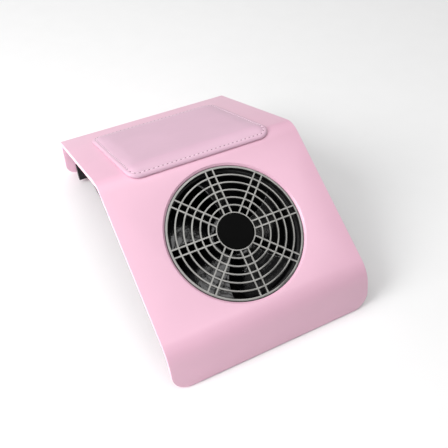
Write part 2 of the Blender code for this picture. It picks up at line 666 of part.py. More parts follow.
def make_box():
    half = BOX_WIDTH / 2.0
    depth = SHELL_THICKNESS + GAP
    ridge_band = section_line(-depth)
    roof = [point for point in ridge_band if BOX_FRONT < point[0] < BOX_REAR and point[1] > 60.0 * MM]
    outline = [(BOX_FRONT, BOX_BOTTOM), (BOX_FRONT, underside(BOX_FRONT, depth))] + roof
    outline += [(BOX_REAR, underside(BOX_REAR, depth)), (BOX_REAR, BOX_BOTTOM)]
    housing = plate("base_housing", [outline], -half, half, BLACK_PLASTIC, turn=SIDEWAYS)
    inner = half - BOX_WALL
    cut(housing, box("box_hollow", (-inner, BOX_FRONT + BOX_WALL, -MM), (inner, BOX_REAR - BOX_WALL, 0.2)))
    for number, (x, y) in enumerate(POST_SPOTS, 1):
        join(housing, cylinder(f"box_post_{number}", 4.2 * MM, BOX_BOTTOM, 21.0 * MM, location=(x, y, 0.0)))
        cut(housing, cylinder(f"box_post_hole_{number}", 1.8 * MM, 0.0, 17.0 * MM, location=(x, y, 0.0)))
    for number, (x, y) in enumerate(BOSS_SPOTS, 1):
        side = math.copysign(1.0, x)
        near = side * (BOSS_X - 4.2 * MM)
        far = side * (inner + MM)
        top = BOSS_FOOT[y] - GAP
        join(housing, box(f"box_tab_{number}", (min(near, far), y - 5.0 * MM, top - 3.5 * MM),
                          (max(near, far), y + 5.0 * MM, top)))
        cut(housing, cylinder(f"box_tab_hole_{number}", 1.9 * MM, top - 5.0 * MM, top + MM,
                              location=(x, y, 0.0)))
    add_cassette_rails(housing)
    add_control_holes(housing)
    return housing


def add_cassette_rails(housing):
    """Collar round the exhaust, and a shelf with a lip above and below the cassette."""
    end = CASSETTE_FRONT + CASSETTE_THICKNESS + GAP
    reach = end + 1.5 * MM
    run = 60.0 * MM
    shelf_top = CASSETTE_BOTTOM - GAP
    shelf_bottom = shelf_top - 1.5 * MM
    roof_bottom = CASSETTE_TOP + GAP
    roof_top = roof_bottom + 1.5 * MM
    join(housing,
         box("rail_web", (-run, BOX_REAR - 0.2 * MM, shelf_bottom), (run, BOX_REAR + 1.5 * MM, 12.0 * MM)),
         box("rail_shelf", (-run, BOX_REAR + 0.3 * MM, shelf_bottom), (run, reach, shelf_top)),
         box("rail_shelf_lip", (-run, end, shelf_bottom), (run, reach, shelf_top + 2.5 * MM)),
         box("rail_roof", (-run, BOX_REAR - MM, roof_bottom), (run, reach, roof_top)),
         box("rail_roof_lip", (-run, end, roof_bottom - 2.5 * MM), (run, reach, roof_top)))
    collar_half = EXHAUST_HALF + 3.5 * MM
    join(housing, box("exhaust_collar", (-collar_half, BOX_REAR - MM, EXHAUST_LOW - 3.0 * MM),
                      (collar_half, CASSETTE_FRONT - GAP, EXHAUST_HIGH + 3.0 * MM)))
    cut(housing, box("exhaust_mouth", (-EXHAUST_HALF, BOX_REAR, EXHAUST_LOW),
                     (EXHAUST_HALF, CASSETTE_FRONT + MM, EXHAUST_HIGH)))
    slots = 7
    rib = 2.0 * MM
    pitch = (2.0 * EXHAUST_HALF + rib) / slots
    for number in range(slots):
        left = -EXHAUST_HALF + number * pitch
        cut(housing, box(f"exhaust_slot_{number + 1}", (left, BOX_REAR - 5.0 * MM, EXHAUST_LOW + MM),
                         (left + pitch - rib, BOX_REAR + MM, EXHAUST_HIGH - MM)))


def add_control_holes(housing):
    wall_in = BOX_WIDTH / 2.0 - 5.0 * MM
    wall_out = BOX_WIDTH / 2.0 + 2.0 * MM
    cut(housing, box("switch_cutout", (wall_in, SWITCH_Y - 6.8 * MM, CONTROL_Z - 4.5 * MM),
                     (wall_out, SWITCH_Y + 6.8 * MM, CONTROL_Z + 4.5 * MM)))
    for name, y, radius in (("speed_hole", SPEED_Y, 3.8 * MM), ("jack_hole", JACK_Y, 4.2 * MM)):
        cut(housing, cylinder(name, radius, wall_in, wall_out, location=(0.0, y, CONTROL_Z),
                              rotation=(0.0, math.pi / 2.0, 0.0)))


STANDOFFS = [(17.0 * MM, 34.0 * MM), (55.0 * MM, 34.0 * MM), (17.0 * MM, 98.0 * MM), (55.0 * MM, 98.0 * MM)]
BOARD_BOTTOM = 11.5 * MM
BOARD_THICKNESS = 1.6 * MM


def make_cover():
    half = BOX_WIDTH / 2.0
    top = COVER_BOTTOM + COVER_THICKNESS
    outline = rounded_rectangle((-half, BOX_FRONT), (half, BOX_REAR - 0.5 * MM), 3.0 * MM, 3)
    cover = plate("bottom_cover", [outline], COVER_BOTTOM, top, BLACK_PLASTIC)
    for number, (x, y) in enumerate(POST_SPOTS, 1):
        sink = [(0.0, top + MM), (1.9 * MM, top + MM), (1.9 * MM, COVER_BOTTOM + 1.6 * MM),
                (3.6 * MM, COVER_BOTTOM - 0.1 * MM), (3.6 * MM, 0.0), (0.0, 0.0)]
        cut(cover, turned(f"cover_sink_{number}", sink, location=(x, y, 0.0), steps=SCREW_STEPS))
        profile = [(0.0, 15.0 * MM), (1.2 * MM, 15.0 * MM), (1.5 * MM, 14.4 * MM),
                   (1.5 * MM, COVER_BOTTOM + 1.8 * MM), (3.0 * MM, COVER_BOTTOM + 0.3 * MM),
                   (3.0 * MM, COVER_BOTTOM + 0.1 * MM), (0.8 * MM, COVER_BOTTOM + 0.1 * MM),
                   (0.8 * MM, COVER_BOTTOM + 0.9 * MM), (0.0, COVER_BOTTOM + 0.9 * MM)]
        turned(f"cover_screw_{number}", profile, STEEL, location=(x, y, 0.0), steps=SCREW_STEPS)
    for number, (x, y) in enumerate(STANDOFFS, 1):
        pin = [(0.0, BOARD_BOTTOM + 2.5 * MM), (1.0 * MM, BOARD_BOTTOM + 2.5 * MM),
               (1.0 * MM, BOARD_BOTTOM - GAP), (3.0 * MM, BOARD_BOTTOM - GAP), (3.0 * MM, top - MM),
               (0.0, top - MM)]
        join(cover, turned(f"cover_standoff_{number}", pin, location=(x, y, 0.0), steps=SCREW_STEPS))
    feet = [(side * 56.0 * MM, y) for side in (-1, 1) for y in (-105.0 * MM, 100.0 * MM)]
    for number, (x, y) in enumerate(feet, 1):
        profile = [(0.0, FOOT_HEIGHT), (FOOT_RADIUS, FOOT_HEIGHT), (FOOT_RADIUS, 0.5 * MM),
                   (FOOT_RADIUS - 0.5 * MM, 0.0), (0.0, 0.0)]
        turned(f"rubber_foot_{number}", profile, BLACK_RUBBER, location=(x, y, 0.0), steps=SMALL_STEPS)


def make_housing_screws():
    for number, (x, y) in enumerate(BOSS_SPOTS, 1):
        seat = BOSS_FOOT[y] - GAP - 3.5 * MM
        pan_screw(f"housing_screw_{number}", (x, y, seat), 8.5 * MM, 1.5 * MM, STEEL)


# ---------------------------------------------------------------- filter cassette
def make_cassette():
    half = CASSETTE_WIDTH / 2.0
    shoulder = CASSETTE_TOP - CASSETTE_SHOULDER
    outline = [(-half, CASSETTE_BOTTOM), (half, CASSETTE_BOTTOM), (half, CASSETTE_SHOULDER),
               (half - shoulder, CASSETTE_TOP), (shoulder - half, CASSETTE_TOP), (-half, CASSETTE_SHOULDER)]
    window = rounded_rectangle((-54.0 * MM, 10.5 * MM), (54.0 * MM, 39.5 * MM), 2.0 * MM, 2)
    rear = CASSETTE_FRONT + CASSETTE_THICKNESS
    cassette = plate("filter_cassette", [outline, window], -rear, -CASSETTE_FRONT, BLACK_PLASTIC, turn=UPRIGHT)
    step = 1.5 * MM
    cut(cassette, box("cassette_rebate", (-56.5 * MM, CASSETTE_FRONT + step, 8.5 * MM),
                      (56.5 * MM, rear + MM, 41.5 * MM)))
    box("filter_mat", (-56.2 * MM, CASSETTE_FRONT + step + GAP, 8.8 * MM),
        (56.2 * MM, rear - GAP, 41.2 * MM), FILTER_WHITE)


# ---------------------------------------------------------------- controls
def wall_turned(name, profile, y, finish=None):
    """A turned piece whose axis points out of the right wall; heights are distances along X."""
    return turned(name, profile, finish, location=(0.0, y, CONTROL_Z), rotation=(0.0, math.pi / 2.0, 0.0),
                  steps=SMALL_STEPS)


def hex_nut(name, radius, bore, low, y, finish):
    """A thin hexagonal nut on the axis of a control."""
    turn = Matrix.Translation((0.0, y, CONTROL_Z)) @ SIDEWAYS
    return plate(name, [circle(radius, 6), circle(bore, SMALL_STEPS)], low, low + NUT_HEIGHT, finish, turn=turn)


def make_switch():
    face = BOX_WIDTH / 2.0 + GAP
    front = face + 1.7 * MM
    back = face - 13.0 * MM

    def centred(name, half_y, half_z, low, high, finish=None):
        return box(name, (low, SWITCH_Y - half_y, CONTROL_Z - half_z),
                   (high, SWITCH_Y + half_y, CONTROL_Z + half_z), finish)

    body = centred("switch_body", 7.7 * MM, 5.4 * MM, face, front, BLACK_PLASTIC)
    join(body, centred("switch_barrel", 6.5 * MM, 4.2 * MM, back, front - MM))
    for side in (-1, 1):
        y = SWITCH_Y + side * 3.5 * MM
        join(body, box(f"switch_terminal_{side + 2}", (back - 6.0 * MM, y - 0.4 * MM, CONTROL_Z - 2.0 * MM),
                       (back + MM, y + 0.4 * MM, CONTROL_Z + 2.0 * MM)))
    cut(body, centred("switch_pocket", 5.8 * MM, 3.5 * MM, face - 8.0 * MM, front + MM))
    pivot = empty("rocker_pivot", (front - 2.6 * MM, SWITCH_Y, CONTROL_Z), (0.0, 0.0, -ROCKER_TILT))
    half = 4.9 * MM
    crest = 3.4 * MM
    outline = arc((0.0, 0.0), 4.6 * MM, math.radians(125.0), math.radians(235.0), 6)
    outline += [(crest, -half), (crest - 1.0 * MM, 0.0), (crest, half)]
    rocker = plate("switch_rocker", [outline], -3.1 * MM, 3.1 * MM, RED_PLASTIC, pivot)
    return rocker


def make_speed_control():
    wall = BOX_WIDTH / 2.0
    inside = wall - BOX_WALL
    bushing_end = wall + 4.5 * MM
    bore = 3.0 * MM + GAP
    body = [(bore, bushing_end), (3.5 * MM, bushing_end), (3.5 * MM, inside - GAP), (8.0 * MM, inside - GAP),
            (8.0 * MM, inside - 9.0 * MM), (0.0, inside - 9.0 * MM)]
    pocket = [(0.0, inside - 5.0 * MM), (bore, inside - 5.0 * MM)]
    wall_turned("potentiometer", pocket + body, SPEED_Y, DARK_STEEL)
    hex_nut("speed_nut", 5.6 * MM, 4.0 * MM, wall + GAP, SPEED_Y, BRASS)
    axis = empty("speed_axis", (wall, SPEED_Y, CONTROL_Z), (0.0, math.pi / 2.0, 0.0))
    shaft = [(0.0, 13.0 * MM), (3.0 * MM, 13.0 * MM), (3.0 * MM, -BOX_WALL - 4.7 * MM),
             (0.0, -BOX_WALL - 4.7 * MM)]
    turned("speed_shaft", shaft, BRASS, axis, steps=SMALL_STEPS)
    knob = [(0.0, 15.5 * MM), (7.6 * MM, 15.5 * MM), (8.2 * MM, 14.9 * MM), (9.0 * MM, 3.2 * MM),
            (6.8 * MM, 3.2 * MM), (6.8 * MM, 5.5 * MM), (bore, 5.5 * MM), (bore, 13.3 * MM), (0.0, 13.3 * MM)]
    cap = turned("speed_knob", knob, BLACK_PLASTIC, axis, steps=24)
    cut(cap, box("knob_pointer", (-9.5 * MM, -0.6 * MM, 14.7 * MM), (-3.5 * MM, 0.6 * MM, 17.0 * MM),
                 parent=axis))
    return cap


def make_jack():
    face = BOX_WIDTH / 2.0 + GAP
    front = face + 2.0 * MM
    back = face - 14.0 * MM
    mouth = 3.0 * MM
    floor = face - 9.0 * MM
    jack = [(0.0, front - MM), (1.0 * MM, front - MM), (1.0 * MM, floor), (mouth, floor), (mouth, front),
            (5.5 * MM, front), (5.5 * MM, face), (3.9 * MM, face), (3.9 * MM, back), (0.0, back)]
    wall_turned("inlet_jack", jack, JACK_Y, BLACK_PLASTIC)
    hex_nut("jack_nut", 6.4 * MM, 4.4 * MM, BOX_WIDTH / 2.0 - BOX_WALL - GAP - NUT_HEIGHT, JACK_Y, STEEL)


# ---------------------------------------------------------------- electronics
def make_electronics():
    top = BOARD_BOTTOM + BOARD_THICKNESS
    seat = top + GAP
    board = plate("control_board", [rounded_rectangle((12.0 * MM, 29.0 * MM), (60.0 * MM, 103.0 * MM), 2.0 * MM, 2)]
                  + [circle(1.4 * MM, 12, spot) for spot in STANDOFFS], BOARD_BOTTOM, top, CIRCUIT_GREEN)
    can = [(0.0, seat + 14.0 * MM), (4.4 * MM, seat + 14.0 * MM), (5.0 * MM, seat + 13.4 * MM),
           (5.0 * MM, seat), (0.0, seat)]
    turned("power_capacitor", can, DARK_STEEL, location=(27.0 * MM, 48.0 * MM, 0.0), steps=20)
    fins = 5
    sink = box("heat_sink", (20.0 * MM, 66.0 * MM, seat), (44.0 * MM, 80.0 * MM, seat + 14.0 * MM), ALUMINIUM)
    pitch = 24.0 * MM / fins
    for number in range(fins - 1):
        left = 20.0 * MM + pitch * (number + 0.7)
        cut(sink, box(f"heat_sink_slot_{number + 1}", (left, 60.0 * MM, seat + 3.0 * MM),
                      (left + pitch * 0.6, 90.0 * MM, seat + 20.0 * MM)))
    for number, y in enumerate((44.0 * MM, 84.0 * MM), 1):
        block = box(f"terminal_block_{number}", (46.0 * MM, y, seat), (54.0 * MM, y + 10.0 * MM, seat + 9.0 * MM),
                    TERMINAL_GREEN)
        round_edges(block, 0.5 * MM)
    return board


def lead(name, points, finish, radius=1.1 * MM):
    """An internal lead: a smooth route through its points, as a round tube with closed ends."""
    route = bpy.data.curves.new(name, "CURVE")
    route.dimensions = "3D"
    route.bevel_depth = radius
    route.bevel_resolution = 1
    route.resolution_u = 1
    route.use_fill_caps = True
    spline = route.splines.new("POLY")
    smooth = smooth_route([Vector(point) * MM for point in points], 4)
    spline.points.add(len(smooth) - 1)
    for point, place_at in zip(spline.points, smooth):
        point.co = (*place_at, 1.0)
    carrier = bpy.data.objects.new(name, route)
    scene.collection.objects.link(carrier)
    return place(name, evaluated_mesh(carrier, name), finish)


def smooth_route(points, steps):
    """Catmull-Rom curve through the points."""
    padded = [points[0]] + points + [points[-1]]
    route = []
    for before, start, end, after in zip(padded, padded[1:], padded[2:], padded[3:]):
        for step in range(steps):
            t = step / steps
            route.append(0.5 * (2.0 * start + (end - before) * t
                                + (2.0 * before - 5.0 * start + 4.0 * end - after) * t * t
                                + (3.0 * start - before - 3.0 * end + after) * t * t * t))
    return route + [points[-1]]


def make_leads():
    lead("fan_lead", [(38, 2.5, 55), (38, 14, 51), (37, 28, 41), (40, 42, 32), (47, 50, 28), (51, 51, 25),
                      (51, 51, 22.8)], RED_LEAD)
    lead("switch_lead", [(55.9, 34, 32), (51, 34, 31.5), (48.5, 38, 29), (48.5, 45, 26), (48.5, 46.5, 22.8)],
         RED_LEAD)
    lead("speed_lead", [(63.1, 64, 32), (57, 64, 31), (51, 66, 24), (50, 72, 17), (50, 75, 13.8)], RED_LEAD)
    lead("power_lead", [(60.9, 94, 32), (56, 94, 32), (51, 92, 30), (50, 89, 26), (50, 89, 22.9)], RED_LEAD)


make_shell()
make_pad()
make_guard()
make_fan_frame()
make_rotor()
make_stator()
make_fan_screws()
make_box()
make_cover()
make_housing_screws()
make_cassette()
make_switch()
make_speed_control()
make_jack()
make_electronics()
make_leads()
bpy.context.view_layer.update()
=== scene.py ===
"""Looks of a desktop nail dust collector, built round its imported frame.

The plate, the palm pad, the finger guard, the fan rotor, the feet, the cover screws, the knob and the inlet
jack are remade here with fine surfaces, in the places that the frame gives. The housings, the filter, the
switch and the speed nut keep their frame shape with rounded edges. The rest keep theirs as it is, with a
finer material.
"""
import json
import math

import bmesh
import bpy
from mathutils import Matrix, Vector
from mathutils.bvhtree import BVHTree


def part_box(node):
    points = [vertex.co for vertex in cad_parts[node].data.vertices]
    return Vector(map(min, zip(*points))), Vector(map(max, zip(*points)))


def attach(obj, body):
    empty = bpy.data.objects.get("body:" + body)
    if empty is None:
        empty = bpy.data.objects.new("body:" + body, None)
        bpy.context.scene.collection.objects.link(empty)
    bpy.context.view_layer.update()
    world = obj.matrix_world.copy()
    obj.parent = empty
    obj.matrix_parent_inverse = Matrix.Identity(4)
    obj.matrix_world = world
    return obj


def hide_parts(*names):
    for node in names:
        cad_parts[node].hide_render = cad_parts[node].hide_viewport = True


MM = 0.001
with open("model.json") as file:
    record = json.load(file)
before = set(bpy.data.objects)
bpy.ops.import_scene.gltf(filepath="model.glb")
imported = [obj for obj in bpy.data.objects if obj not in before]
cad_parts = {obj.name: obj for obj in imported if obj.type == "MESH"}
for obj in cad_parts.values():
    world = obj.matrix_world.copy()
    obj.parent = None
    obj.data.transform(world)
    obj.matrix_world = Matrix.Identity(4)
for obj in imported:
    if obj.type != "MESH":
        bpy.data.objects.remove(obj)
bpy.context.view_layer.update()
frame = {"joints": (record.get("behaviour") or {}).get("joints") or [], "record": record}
scene = bpy.context.scene

# ---- camera
CAMERA_AIM = Vector((0.0022, -0.0472, 0.0550))
CAMERA_DISTANCE = 0.5195
CAMERA_AZIMUTH = math.radians(27.18)
CAMERA_ELEVATION = math.radians(46.03)
CAMERA_LENS = 46.32
SENSOR_WIDTH = 36.0
NEAREST_SEEN = 10.0 * MM


def add_camera():
    """The camera, at a distance from its aim in the direction that the two angles give."""
    lens = bpy.data.cameras.new("camera")
    lens.lens = CAMERA_LENS
    lens.sensor_width = SENSOR_WIDTH
    lens.clip_start = NEAREST_SEEN
    made = bpy.data.objects.new("camera", lens)
    level = math.cos(CAMERA_ELEVATION)
    away = Vector((-math.sin(CAMERA_AZIMUTH) * level, -math.cos(CAMERA_AZIMUTH) * level,
                   math.sin(CAMERA_ELEVATION)))
    made.location = CAMERA_AIM + away * CAMERA_DISTANCE
    made.rotation_euler = (math.pi / 2.0 - CAMERA_ELEVATION, 0.0, -CAMERA_AZIMUTH)
    scene.collection.objects.link(made)
    scene.camera = made


add_camera()

# ---- facts read from the frame
record = frame["record"]
joints = {joint["name"]: joint for joint in frame["joints"]}
mounts = {mount["name"]: mount for mount in record["mounts"]}
slots = {subpart["node"]: subpart["material_slot"] for subpart in record["subparts"]}

FAN_CENTRE = Vector(joints["fan_spin"]["pos_m"])
FAN_AXIS = Vector(joints["fan_spin"]["axis"]).normalized()
FAN_TILT = math.atan2(-FAN_AXIS.y, FAN_AXIS.z)
REAR_NORMAL = Vector(mounts["palm_face"]["axis"]).normalized()
REAR_TILT = math.atan2(REAR_NORMAL.y, REAR_NORMAL.z)
PALM_POINT = Vector(mounts["palm_face"]["pos_m"])

shell_low, shell_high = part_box("shell")
pad_low, pad_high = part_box("palm_pad")
HALF_WIDTH = shell_high.x
FOOT_CLEARANCE = shell_low.z

# The plate's form where the frame's boxes don't give it
PLATE = 5.0 * MM
PAD_HEIGHT = 4.3 * MM
FRONT_LEAN = math.radians(14.5)
REAR_LEAN = math.radians(12.0)
# Radius and steps of each bend's arc: front, ridge, rear
BENDS = ((28.0 * MM, 20), (22.0 * MM, 20), (2.5 * MM, 8))
LIP_CORNER = 15.0 * MM
OPENING_RADIUS = 61.0 * MM
OPENING_CHAMFER = 1.8 * MM

# Places for flat outlines: on the fan slope, in the (Y, Z) plane and in the (X, Z) plane
FAN_FRAME = Matrix.Translation(FAN_CENTRE) @ Matrix.Rotation(FAN_TILT, 4, "X")
SIDEWAYS = Matrix(((0, 0, 1, 0), (1, 0, 0, 0), (0, 1, 0, 0), (0, 0, 0, 1)))
UPRIGHT = Matrix(((1, 0, 0, 0), (0, 0, -1, 0), (0, 1, 0, 0), (0, 0, 0, 1)))

# Edges that turn by more than these angles are shaded sharp, or rounded where a piece is softened
SHARP_ANGLE = math.radians(35.0)
STEEP_ANGLE = math.radians(50.0)
# Insets and heights that differ by less than this are taken as the same
ROUNDING = 1e-6


def meet(point_a, direction_a, point_b, direction_b):
    """Where two lines in the (Y, Z) plane cross."""
    across = direction_a.cross(direction_b)
    along = (point_b - point_a).cross(direction_b) / across
    return point_a + direction_a * along


def section_corners():
    """Sharp corners of the plate's outer face in (Y, Z), front foot to rear foot."""
    fan_point = FAN_CENTRE.yz
    fan_line = Vector((math.cos(FAN_TILT), math.sin(FAN_TILT)))
    rear_point = (PALM_POINT - REAR_NORMAL * PAD_HEIGHT).yz
    rear_line = Vector((math.cos(REAR_TILT), -math.sin(REAR_TILT)))
    front_foot = Vector((shell_low.y, FOOT_CLEARANCE))
    front_line = Vector((math.sin(FRONT_LEAN), math.cos(FRONT_LEAN)))
    rear_foot = Vector((shell_high.y, FOOT_CLEARANCE))
    back_line = Vector((-math.sin(REAR_LEAN), math.cos(REAR_LEAN)))
    return [front_foot, meet(front_foot, front_line, fan_point, fan_line),
            meet(fan_point, fan_line, rear_point, rear_line),
            meet(rear_point, rear_line, rear_foot, back_line), rear_foot]


CORNERS = section_corners()
RIDGE = CORNERS[2]


def middle(node):
    """The centre of a frame piece's box, with its lowest and highest corners."""
    low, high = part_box(node)
    return (low + high) / 2.0, low, high


# ---- outlines
def arc(centre, radius, start, end, steps):
    """Points on an arc, both ends included."""
    angles = [start + (end - start) * i / steps for i in range(steps + 1)]
    return [(centre[0] + radius * math.cos(a), centre[1] + radius * math.sin(a)) for a in angles]


def circle(radius, steps, centre=(0.0, 0.0)):
    """Points round a circle, without a repeated last one."""
    return arc(centre, radius, 0.0, math.tau * (steps - 1) / steps, steps - 1)


def rounded_rectangle(low, high, radius, steps=8):
    """A rectangle between two corners, with an arc at each of its own."""
    outline = []
    corners = ((high[0], high[1]), (low[0], high[1]), (low[0], low[1]), (high[0], low[1]))
    for quarter, (x, y) in enumerate(corners):
        centre = (x - radius if x == high[0] else x + radius, y - radius if y == high[1] else y + radius)
        start = quarter * math.pi / 2.0
        outline += arc(centre, radius, start, start + math.pi / 2.0, steps)
    return outline


def shifted_corners(distance):
    """The section's corners, each straight moved outwards by the distance."""
    directions = [(b - a).normalized() for a, b in zip(CORNERS, CORNERS[1:])]
    outward = [Vector((-d.y, d.x)) for d in directions]
    moved = [CORNERS[0] + outward[0] * distance]
    for i in range(1, len(CORNERS) - 1):
        bisector = (outward[i - 1] + outward[i]).normalized()
        moved.append(CORNERS[i] + bisector * (distance / bisector.dot(outward[i])))
    return moved + [CORNERS[-1] + outward[-1] * distance]


def bend(before, corner, after, radius, steps):
    """The arc that rounds one corner of the section."""
    back = (before - corner).normalized()
    ahead = (after - corner).normalized()
    half = back.angle(ahead) / 2.0
    centre = corner + (back + ahead).normalized() * (radius / math.sin(half))
    first = corner + back * (radius / math.tan(half)) - centre
    start = math.atan2(first.y, first.x)
    return arc(centre, radius, start, start - (math.pi - 2.0 * half), steps)


def section_line(distance, fineness=1):
    """The rounded section at a distance outwards from the outer face, front foot to rear foot."""
    corners = shifted_corners(distance)
    line = [tuple(corners[0])]
    for i, (radius, steps) in enumerate(BENDS, 1):
        line += bend(corners[i - 1], corners[i], corners[i + 1], max(radius + distance, MM), steps * fineness)
    return line + [tuple(corners[-1])]


def section_band(inner, outer, reach=0.0):
    """The outline between two offsets of the section; reach carries its feet further down."""
    line = section_line(outer)
    back = section_line(inner)[::-1]
    for points in (line, back):
        for end, neighbour in ((0, 1), (-1, -2)):
            foot = Vector(points[end])
            points[end] = tuple(foot + (foot - Vector(points[neighbour])).normalized() * reach)
    return line + back


# ---- mesh helpers
def link(name, mesh, matrix=Matrix.Identity(4)):
    """A new object in the scene, placed by the matrix."""
    made = bpy.data.objects.new(name, mesh)
    made.matrix_world = matrix
    scene.collection.objects.link(made)
    return made


def mesh_from(builder, name):
    """The mesh that a builder has made; the builder is used up."""
    mesh = bpy.data.meshes.new(name)
    builder.to_mesh(mesh)
    builder.free()
    return mesh


def settle(piece):
    """Replace a piece's mesh with what its modifiers and matrix make of it, in the scene's coordinates."""
    bpy.context.view_layer.update()
    graph = bpy.context.evaluated_depsgraph_get()
    mesh = bpy.data.meshes.new_from_object(piece.evaluated_get(graph))
    mesh.transform(piece.matrix_world)
    mesh.name = piece.name
    if piece.type != "MESH":
        name = piece.name
        bpy.data.objects.remove(piece, do_unlink=True)
        return link(name, mesh)
    piece.modifiers.clear()
    piece.data = mesh
    piece.matrix_world = Matrix.Identity(4)
    return piece


def plate(name, loops, low, high, matrix=Matrix.Identity(4)):
    """A flat outline with its holes, given thickness from low to high along its own Z."""
    curve = bpy.data.curves.new(name, "CURVE")
    curve.dimensions = "2D"
    curve.fill_mode = "BOTH"
    curve.extrude = (high - low) / 2.0
    for loop in loops:
        spline = curve.splines.new("POLY")
        spline.points.add(len(loop) - 1)
        spline.use_cyclic_u = True
        for point, (across, along) in zip(spline.points, loop):
            point.co = (across, along, 0.0, 1.0)
    piece = settle(link(name, curve, matrix @ Matrix.Translation((0.0, 0.0, (high + low) / 2.0))))
    weld(piece)
    return piece


def weld(piece, distance=0.002 * MM):
    """Join points that lie in one place and turn all the faces outwards."""
    builder = bmesh.new()
    builder.from_mesh(piece.data)
    bmesh.ops.remove_doubles(builder, verts=builder.verts, dist=distance)
    bmesh.ops.recalc_face_normals(builder, faces=builder.faces)
    builder.to_mesh(piece.data)
    builder.free()
    return piece


def turned(name, profile, matrix=Matrix.Identity(4), steps=96):
    """Turn a profile of (radius, height), top to bottom on its outer side, round the matrix's Z axis."""
    mesh = bpy.data.meshes.new(name)
    edges = [(i, i + 1) for i in range(len(profile) - 1)]
    if profile[0][0] > 0.0 or profile[-1][0] > 0.0:
        edges.append((len(profile) - 1, 0))
    mesh.from_pydata([(radius, 0.0, height) for radius, height in profile], edges, [])
    piece = link(name, mesh, matrix)
    screw = piece.modifiers.new("turn", "SCREW")
    screw.axis = "Z"
    screw.steps = steps
    screw.render_steps = steps
    screw.use_merge_vertices = True
    screw.merge_threshold = 0.01 * MM
    return settle(piece)


def block(name, low, high, matrix=Matrix.Identity(4)):
    """A plain box between two corners, placed by the matrix."""
    builder = bmesh.new()
    bmesh.ops.create_cube(builder, size=1.0)
    bmesh.ops.scale(builder, vec=Vector(high) - Vector(low), verts=builder.verts)
    bmesh.ops.translate(builder, vec=(Vector(high) + Vector(low)) / 2.0, verts=builder.verts)
    return settle(link(name, mesh_from(builder, name), matrix))


def boolean(piece, operation, *tools):
    """Cut, join or intersect a piece with tools, which are used up."""
    for tool in tools:
        step = piece.modifiers.new(operation.lower(), "BOOLEAN")
        step.operation = operation
        step.object = tool
        settle(piece)
        bpy.data.objects.remove(tool, do_unlink=True)
    return piece


def soften(piece, width, segments=3, angle=SHARP_ANGLE):
    """Round the sharp edges and shade the rest smooth."""
    step = piece.modifiers.new("edges", "BEVEL")
    step.width = width
    step.segments = segments
    step.limit_method = "ANGLE"
    step.angle_limit = angle
    settle(piece)
    return smooth(piece)


def smooth(piece):
    """Shade smooth, apart from the sharp edges."""
    piece.data.shade_smooth()
    piece.data.set_sharp_from_angle(angle=SHARP_ANGLE)
    return piece


def show(piece, material, body, slot, *nodes):
    """Give a piece its material and its body, and hide the frame nodes it stands for. The slot is not used.
    """
    piece.data.materials.clear()
    piece.data.materials.append(material)
    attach(piece, body)
    if nodes:
        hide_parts(*nodes)
    return piece


# ---- materials
def new_material(name):
    """A material with its node tree and its shader."""
    made = bpy.data.materials.new(name)
    made.use_nodes = True
    return made, made.node_tree, made.node_tree.nodes["Principled BSDF"]


def texture(tree, kind, scale, stretch=(1.0, 1.0, 1.0), **settings):
    """A procedural texture in the piece's own coordinates, in metres."""
    place_at = tree.nodes.new("ShaderNodeTexCoord")
    mapping = tree.nodes.new("ShaderNodeMapping")
    mapping.inputs["Scale"].default_value = stretch
    made = tree.nodes.new(kind)
    made.inputs["Scale"].default_value = scale
    for name, value in settings.items():
        if name in made.inputs:
            made.inputs[name].default_value = value
        else:
            setattr(made, name.lower(), value)
    tree.links.new(place_at.outputs["Object"], mapping.inputs["Vector"])
    tree.links.new(mapping.outputs["Vector"], made.inputs["Vector"])
    return made


def ramp(tree, source, stops):
    """A colour ramp on a texture's value."""
    made = tree.nodes.new("ShaderNodeValToRGB")
    elements = made.color_ramp.elements
    while len(elements) < len(stops):
        elements.new(0.5)
    for element, (position, colour) in zip(elements, stops):
        element.position = position
        element.color = (*colour, 1.0)
    tree.links.new(source, made.inputs["Fac"])
    return made.outputs["Color"]


def spread(tree, source, low, high):
    """A value that follows a texture between two limits."""
    made = tree.nodes.new("ShaderNodeMapRange")
    made.inputs["To Min"].default_value = low
    made.inputs["To Max"].default_value = high
    tree.links.new(source, made.inputs["Value"])
    return made.outputs["Result"]


def bump(tree, shader, source, strength, distance, under=None):
    """Relief from a texture, laid over any relief that is already there."""
    made = tree.nodes.new("ShaderNodeBump")
    made.inputs["Strength"].default_value = strength
    made.inputs["Distance"].default_value = distance
    tree.links.new(source, made.inputs["Height"])
    if under is not None:
        tree.links.new(under, made.inputs["Normal"])
    tree.links.new(made.outputs["Normal"], shader.inputs["Normal"])
    return made.outputs["Normal"]


def tint(colour, factor):
    """A colour made lighter or darker."""
    return tuple(min(channel * factor, 1.0) for channel in colour)


MOTTLE_SCALE = 35.0
GLOSS_UNEVENNESS = 0.12
GRAIN_STEEPNESS = 0.3


